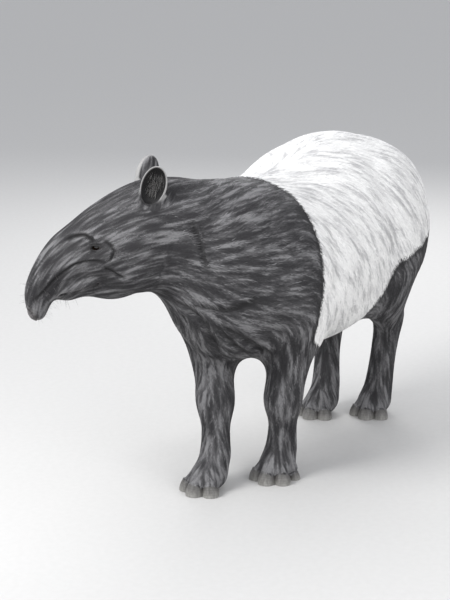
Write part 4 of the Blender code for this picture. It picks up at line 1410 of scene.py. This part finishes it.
# The coat is parted into pieces by place: ears, cheeks, legs, and both sides of neck, shoulder, flank and
# rump. Each has a flat plan of the hide, of turns round it and the way along it, where its locks root.
forward, sideways, height = head_frame(roots).T
on_head = (forward > 0.02) & (roots[:, 2] > 0.57) & (roots[:, 0] > 0.41)
near_ear = np.zeros(count, bool)
leg_gap = np.full(count, np.inf)
leg_name = np.zeros(count, int)
plan_turn = np.arctan2(roots[:, 1], roots[:, 2] - 0.70) / np.pi
plan_along = (roots[:, 0] + 0.84) / 1.55
skull_forward, skull_height = np.array(SKULL_STATIONS).T[:2]
head_middle = np.interp(forward, skull_forward, skull_height)
plan_turn[on_head] = (np.arctan2(sideways, height - head_middle) / np.pi)[on_head]
plan_along[on_head] = forward[on_head] / 0.50
for side in (1, -1):
    centre, turn = ear_frame(side)
    local = (roots - np.array(centre, np.float32)) @ np.array(turn, np.float32)
    here = on_head & (np.linalg.norm(local / (0.034, 0.050, 0.078), axis=1) < 1)
    near_ear |= here
    round_cup = np.arctan2(local[:, 1], local[:, 0]) / (2 * np.pi) + 0.5
    plan_turn[here] = side * (0.02 + 0.96 * round_cup)[here]
    plan_along[here] = (local[:, 2] / 0.16 + 0.5)[here]
for number, line in enumerate(LEG_LINES.values()):
    gap = to_line(roots, line)[0]
    closer = (gap < leg_gap) & (gap < 0.17) & (roots[:, 2] < 0.47) & ~on_head
    leg_gap[closer] = gap[closer]
    leg_name[closer] = number + 1
    bone_x, bone_y = (np.interp(roots[:, 2], line[::-1, 2], line[::-1, k]) for k in (0, 1))
    angle = np.arctan2(roots[:, 1] - bone_y, roots[:, 0] - bone_x) / np.pi
    plan_turn[closer] = angle[closer]
    plan_along[closer] = roots[closer, 2] / 0.5
COAT_PIECES = ["ears", "left_cheek", "right_cheek", *LEGS]
TRUNK_PIECES = (("neck", 0.36), ("shoulder", 0.10), ("flank", -0.25), ("rump", -1.0))
chosen = [near_ear, on_head & (sideways > 0), on_head, leg_name > 0]
numbers = [0, 1, 2, leg_name + 2]
for name, rear_end in TRUNK_PIECES:
    chosen.append(roots[:, 0] > rear_end)
    numbers.append(len(COAT_PIECES) + (roots[:, 1] > 0))
    COAT_PIECES += [f"right_{name}", f"left_{name}"]
piece_of = np.select(chosen, numbers)
PATCH = np.array(((0, -0.0015), (-0.0015, 0), (0, 0), (0.0015, 0), (0, 0.0015)))
hair_finish = coat_material("hair", "shade")


def joined(name, points, faces, values):
    """A mesh of many small equal pieces: points and faces are those of one piece, repeated."""
    number, size = points.shape[:2]
    made = bpy.data.meshes.new(name)
    all_faces = (faces[None] + (np.arange(number) * size)[:, None, None]).reshape(-1, 3)
    made.vertices.add(number * size)
    made.vertices.foreach_set("co", points.astype(np.float32).ravel())
    made.loops.add(all_faces.size)
    made.loops.foreach_set("vertex_index", all_faces.ravel().astype(np.int32))
    made.polygons.add(len(all_faces))
    made.polygons.foreach_set("loop_start", np.arange(len(all_faces), dtype=np.int32) * 3)
    made.update(calc_edges=True)
    for key, value in values.items():
        value = value if value.ndim == 2 else np.repeat(value[:, None], size, axis=1)
        set_attribute(made, key, value.ravel())
    return made, all_faces


def unwrapped(mesh, faces, places):
    """Lays each small piece's patch on the flat plan, for the baking of its colours."""
    layer = mesh.uv_layers.new(name="OFBake")
    layer.data.foreach_set("uv", places.reshape(-1, 2)[faces.ravel()].astype(np.float32).ravel())


for number, name in enumerate(COAT_PIECES):
    here = np.nonzero(piece_of == number)[0]
    values = {key: value[here] for key, value in marks.items()}
    values["shade"] = hair_shade[here]
    coat, faces = joined(f"coat_{name}", tuft_points[here], TUFT_FACES, values)
    turns = plan_turn[here]
    turns = (turns - turns.min()) / (turns.max() - turns.min())
    plan = np.stack([turns, np.clip(plan_along[here], 0, 1)], axis=1) * 0.99 + 0.005
    unwrapped(coat, faces, plan[:, None] + PATCH)
    coat.materials.append(hair_finish.material)
    coat.shade_flat()
    stand(f"coat_{name}", coat)

# The fringe: short stiff hair that hangs from each toe over the top of its hoof, and hides where the horn
# grows out of the skin. It is rooted in the toe just above the hoof's rim.
FRINGE = 90
chance = np.random.default_rng(41)
fringe_points, fringe_roots = [], []
for name in LEGS:
    for centre, axes, size in toes_of(name):
        foot, ways = toe_frame(centre, axes)
        for turn in chance.uniform(-2.3, 2.3, FRINGE):
            out = hoof_ring(turn, HOOF_CORONET) @ ways[:2] * size
            top = coronet_height(turn) * size
            middle = foot + ways[0] * CORONET_FORWARD * size
            away = out / np.linalg.norm(out)
            reach = chance.uniform(0.004, 0.009) * size
            root = middle + out * 0.86 + ways[2] * (top + 0.0035)
            bend = middle + out * 1.02 + ways[2] * (top + 0.0012) + away * 0.0008
            end = middle + out * 1.06 + ways[2] * (top - reach) + away * 0.0022
            wide = np.cross(ways[2], away) * 0.0009
            fringe_points.append((root, bend - wide, bend + away * 0.0005, bend + wide, end))
            fringe_roots.append(middle + out * 0.9 + ways[2] * (top + 0.004))
fringe_points = np.array(fringe_points)
fringe_roots = np.array(fringe_roots, np.float32)
down = np.tile(np.array((0, 0, -1), np.float32), (len(fringe_roots), 1))
values = {mark: np.zeros(len(fringe_roots)) for mark in hide_marks}
values["saddle"] -= 0.2
values["streak_and_sheen"] = streaks(fringe_roots, down)
values["shade"] = chance.normal(0.45, 0.16, (len(fringe_roots), 1)) + np.zeros(5)
fringe, faces = joined("fringe", fringe_points, TUFT_FACES, values)
angle = np.arctan2(fringe_roots[:, 1], fringe_roots[:, 0]) / (2 * np.pi) + 0.5
plan = np.stack([angle, np.linalg.norm(fringe_roots[:, :2], axis=1)], axis=1) * 0.98 + 0.01
unwrapped(fringe, faces, plan[:, None] + PATCH)
fringe.materials.append(hair_finish.material)
fringe.shade_flat()
stand("fringe", fringe)

# Single hairs: lashes on the drooping upper lids, stiff bristles on lips and chin, and long pale hairs in the
# cups of the ears. Each is a thin round hair that tapers to its tip and is rooted just under the skin.
STRAND_RINGS = 6
EAR_HAIRS = 150
chance = np.random.default_rng(31)


def strands(name, starts, ways, lengths, radius, droop, colours):
    """Thin tapering hairs that bend down as they grow. colours are the darkest and the lightest."""
    ways = ways / np.linalg.norm(ways, axis=1, keepdims=True)
    side_a = np.cross(ways, (0.31, 0.52, 0.79))
    side_a /= np.linalg.norm(side_a, axis=1, keepdims=True)
    side_b = np.cross(ways, side_a)
    rings = []
    for t in np.linspace(0, 0.9, STRAND_RINGS):
        middle = starts + (ways * t + np.array((0, 0, -droop * t * t))) * lengths[:, None]
        for turn in (0, 2 * math.pi / 3, 4 * math.pi / 3):
            out = side_a * math.cos(turn) + side_b * math.sin(turn)
            rings.append(middle + radius * (1 - 0.75 * t) * out)
    rings.append(starts + (ways + np.array((0, 0, -droop))) * lengths[:, None])
    faces = [(0, 2, 1)]
    for ring in range(STRAND_RINGS - 1):
        for k in range(3):
            a, b = 3 * ring + k, 3 * ring + (k + 1) % 3
            faces += [(a, b, b + 3), (a, b + 3, a + 3)]
    tip = 3 * STRAND_RINGS
    faces += [(tip - 3 + k, tip - 3 + (k + 1) % 3, tip) for k in range(3)]
    shade = {"shade": chance.uniform(0, 1, len(starts))[:, None] * np.ones(tip + 1)}
    made, all_faces = joined(name, np.stack(rings, axis=1), np.array(faces), shade)
    finish = Finish(name)
    finish.put(finish.shader.inputs["Base Color"], finish.mixed(finish.attribute("shade"), *colours))
    finish.put(finish.shader.inputs["Roughness"], 0.42)
    made.materials.append(finish.material)
    made.shade_smooth()
    stand(name, made)


starts, ways, lengths = [], [], []
for side in (1, -1):
    centre, axes = eye_frame(side)
    for turn in np.radians(np.linspace(15, 165, 34)):
        wide, high = LID_WIDE * math.cos(turn), LID_HIGH * math.sin(turn) + 0.0006
        starts.append(centre + axes.T @ (0.0175, wide, high))
        ways.append(axes.T @ (0.9, wide * 26, 0.10))
        lengths.append(chance.uniform(0.010, 0.014))
starts = lying(np.array(starts), np.full(len(starts), -0.0004))
lash_colours = (0.010, 0.009, 0.009), (0.030, 0.028, 0.027)
strands("lashes", starts, np.array(ways), np.array(lengths), 0.00030, 0.75, lash_colours)

on_lips = (forward > 0.30) & (height < 0.715) & (bareness(roots) < 0.6)
on_snout = (forward > 0.37) & (height < 0.76) & (np.abs(sideways) > 0.02)
bristle_places = ((on_lips, 80), (on_snout, 40))
chosen = [chance.choice(np.nonzero(there)[0], number, replace=False) for there, number in bristle_places]
chosen = np.concatenate(chosen)
ways = outward[chosen] + 0.5 * lie[chosen] + np.array((0, 0, -0.35))
lengths = chance.uniform(0.014, 0.034, len(chosen))
starts = roots[chosen] - outward[chosen] * 0.001
strands("bristles", starts, ways, lengths, 0.00034, 0.25, ((0.012, 0.011, 0.011), (0.16, 0.155, 0.15)))

starts, ways, lengths = [], [], []
for side in (1, -1):
    centre, turn = ear_frame(side)
    for _ in range(EAR_HAIRS):
        across_cup = chance.normal(0, 0.011)
        up_cup = chance.uniform(-0.050, 0.022)
        starts.append(centre + turn @ Vector((-0.010, across_cup, up_cup)))
        out_of_cup = 0.10 + chance.uniform(0, 0.22)
        ways.append(turn @ Vector((out_of_cup, -across_cup * 5 + chance.normal(0, 0.08), 1.0)))
        lengths.append(chance.uniform(0.016, 0.034) * (1 - max(0, up_cup) * 12))
starts = lying(np.array(starts), np.full(len(starts), -0.0005))
ear_hair_colours = (0.05, 0.049, 0.048), (0.42, 0.41, 0.40)
strands("ear_hairs", starts, np.array(ways), np.array(lengths), 0.00034, -0.10, ear_hair_colours)

# The floor and a plain soft studio: a pale matt floor that reaches far beyond the view, three soft lamps
# and a pale sky, with the camera where the drawing looks from.
FLOOR_REACH = 70.0
floor_mesh = bpy.data.meshes.new("floor")
floor_corners = [(x * FLOOR_REACH, y * FLOOR_REACH, 0) for x, y in ((-1, -1), (1, -1), (1, 1), (-1, 1))]
floor_mesh.from_pydata(floor_corners, [], [(0, 1, 2, 3)])
floor_finish = Finish("floor")
speckle = floor_finish.fade(floor_finish.noise(45, 3.0), 0.2, 0.8)
tone = floor_finish.mixed(speckle, (0.505, 0.500, 0.490), (0.525, 0.520, 0.510))
floor_finish.put(floor_finish.shader.inputs["Base Color"], tone)
floor_finish.put(floor_finish.shader.inputs["Roughness"], 0.85)
floor_mesh.materials.append(floor_finish.material)
floor = bpy.data.objects.new("floor", floor_mesh)
bpy.context.scene.collection.objects.link(floor)

studio = bpy.data.worlds.new("studio")
studio.use_nodes = True
sky = studio.node_tree.nodes["Background"]
sky.inputs["Color"].default_value = (0.93, 0.95, 1.0, 1)
sky.inputs["Strength"].default_value = 0.85
bpy.context.scene.world = studio
bpy.context.scene.view_settings.view_transform = "Standard"
LAMPS = (
    # name, place, size, watts: key from above the camera's left, fill from its right, light from behind
    ("key_light", (3.2, -1.6, 3.4), 2.2, 210),
    ("fill_light", (1.6, 3.8, 1.8), 3.0, 75),
    ("back_light", (-3.4, -1.2, 3.0), 2.5, 90),
)
for name, place, size, watts in LAMPS:
    lamp = bpy.data.lights.new(name, "AREA")
    lamp.size = size
    lamp.energy = watts
    holder = bpy.data.objects.new(name, lamp)
    holder.location = place
    aim = Vector((0, 0, 0.55)) - Vector(place)
    holder.rotation_mode = "QUATERNION"
    holder.rotation_quaternion = aim.to_track_quat("-Z", "Y")
    bpy.context.scene.collection.objects.link(holder)

CAMERA_TARGET = Vector((0.001, -0.236, 0.503)) + Vector(SHIFT.tolist())
CAMERA_DISTANCE = 6.116
CAMERA_TURN = math.radians(31)
CAMERA_RISE = math.radians(15)
FOCAL_PIXELS = 1739
IMAGE_HEIGHT = 600
level = math.cos(CAMERA_RISE)
toward = Vector((math.cos(CAMERA_TURN) * level, math.sin(CAMERA_TURN) * level, math.sin(CAMERA_RISE)))
camera = bpy.data.objects.new("camera", bpy.data.cameras.new("camera"))
camera.data.sensor_fit = "VERTICAL"
camera.data.sensor_height = 24
camera.data.lens = camera.data.sensor_height * FOCAL_PIXELS / IMAGE_HEIGHT
camera.location = CAMERA_TARGET + CAMERA_DISTANCE * toward
camera.rotation_mode = "QUATERNION"
camera.rotation_quaternion = (-toward).to_track_quat("-Z", "Y")
bpy.context.scene.collection.objects.link(camera)
bpy.context.scene.camera = camera
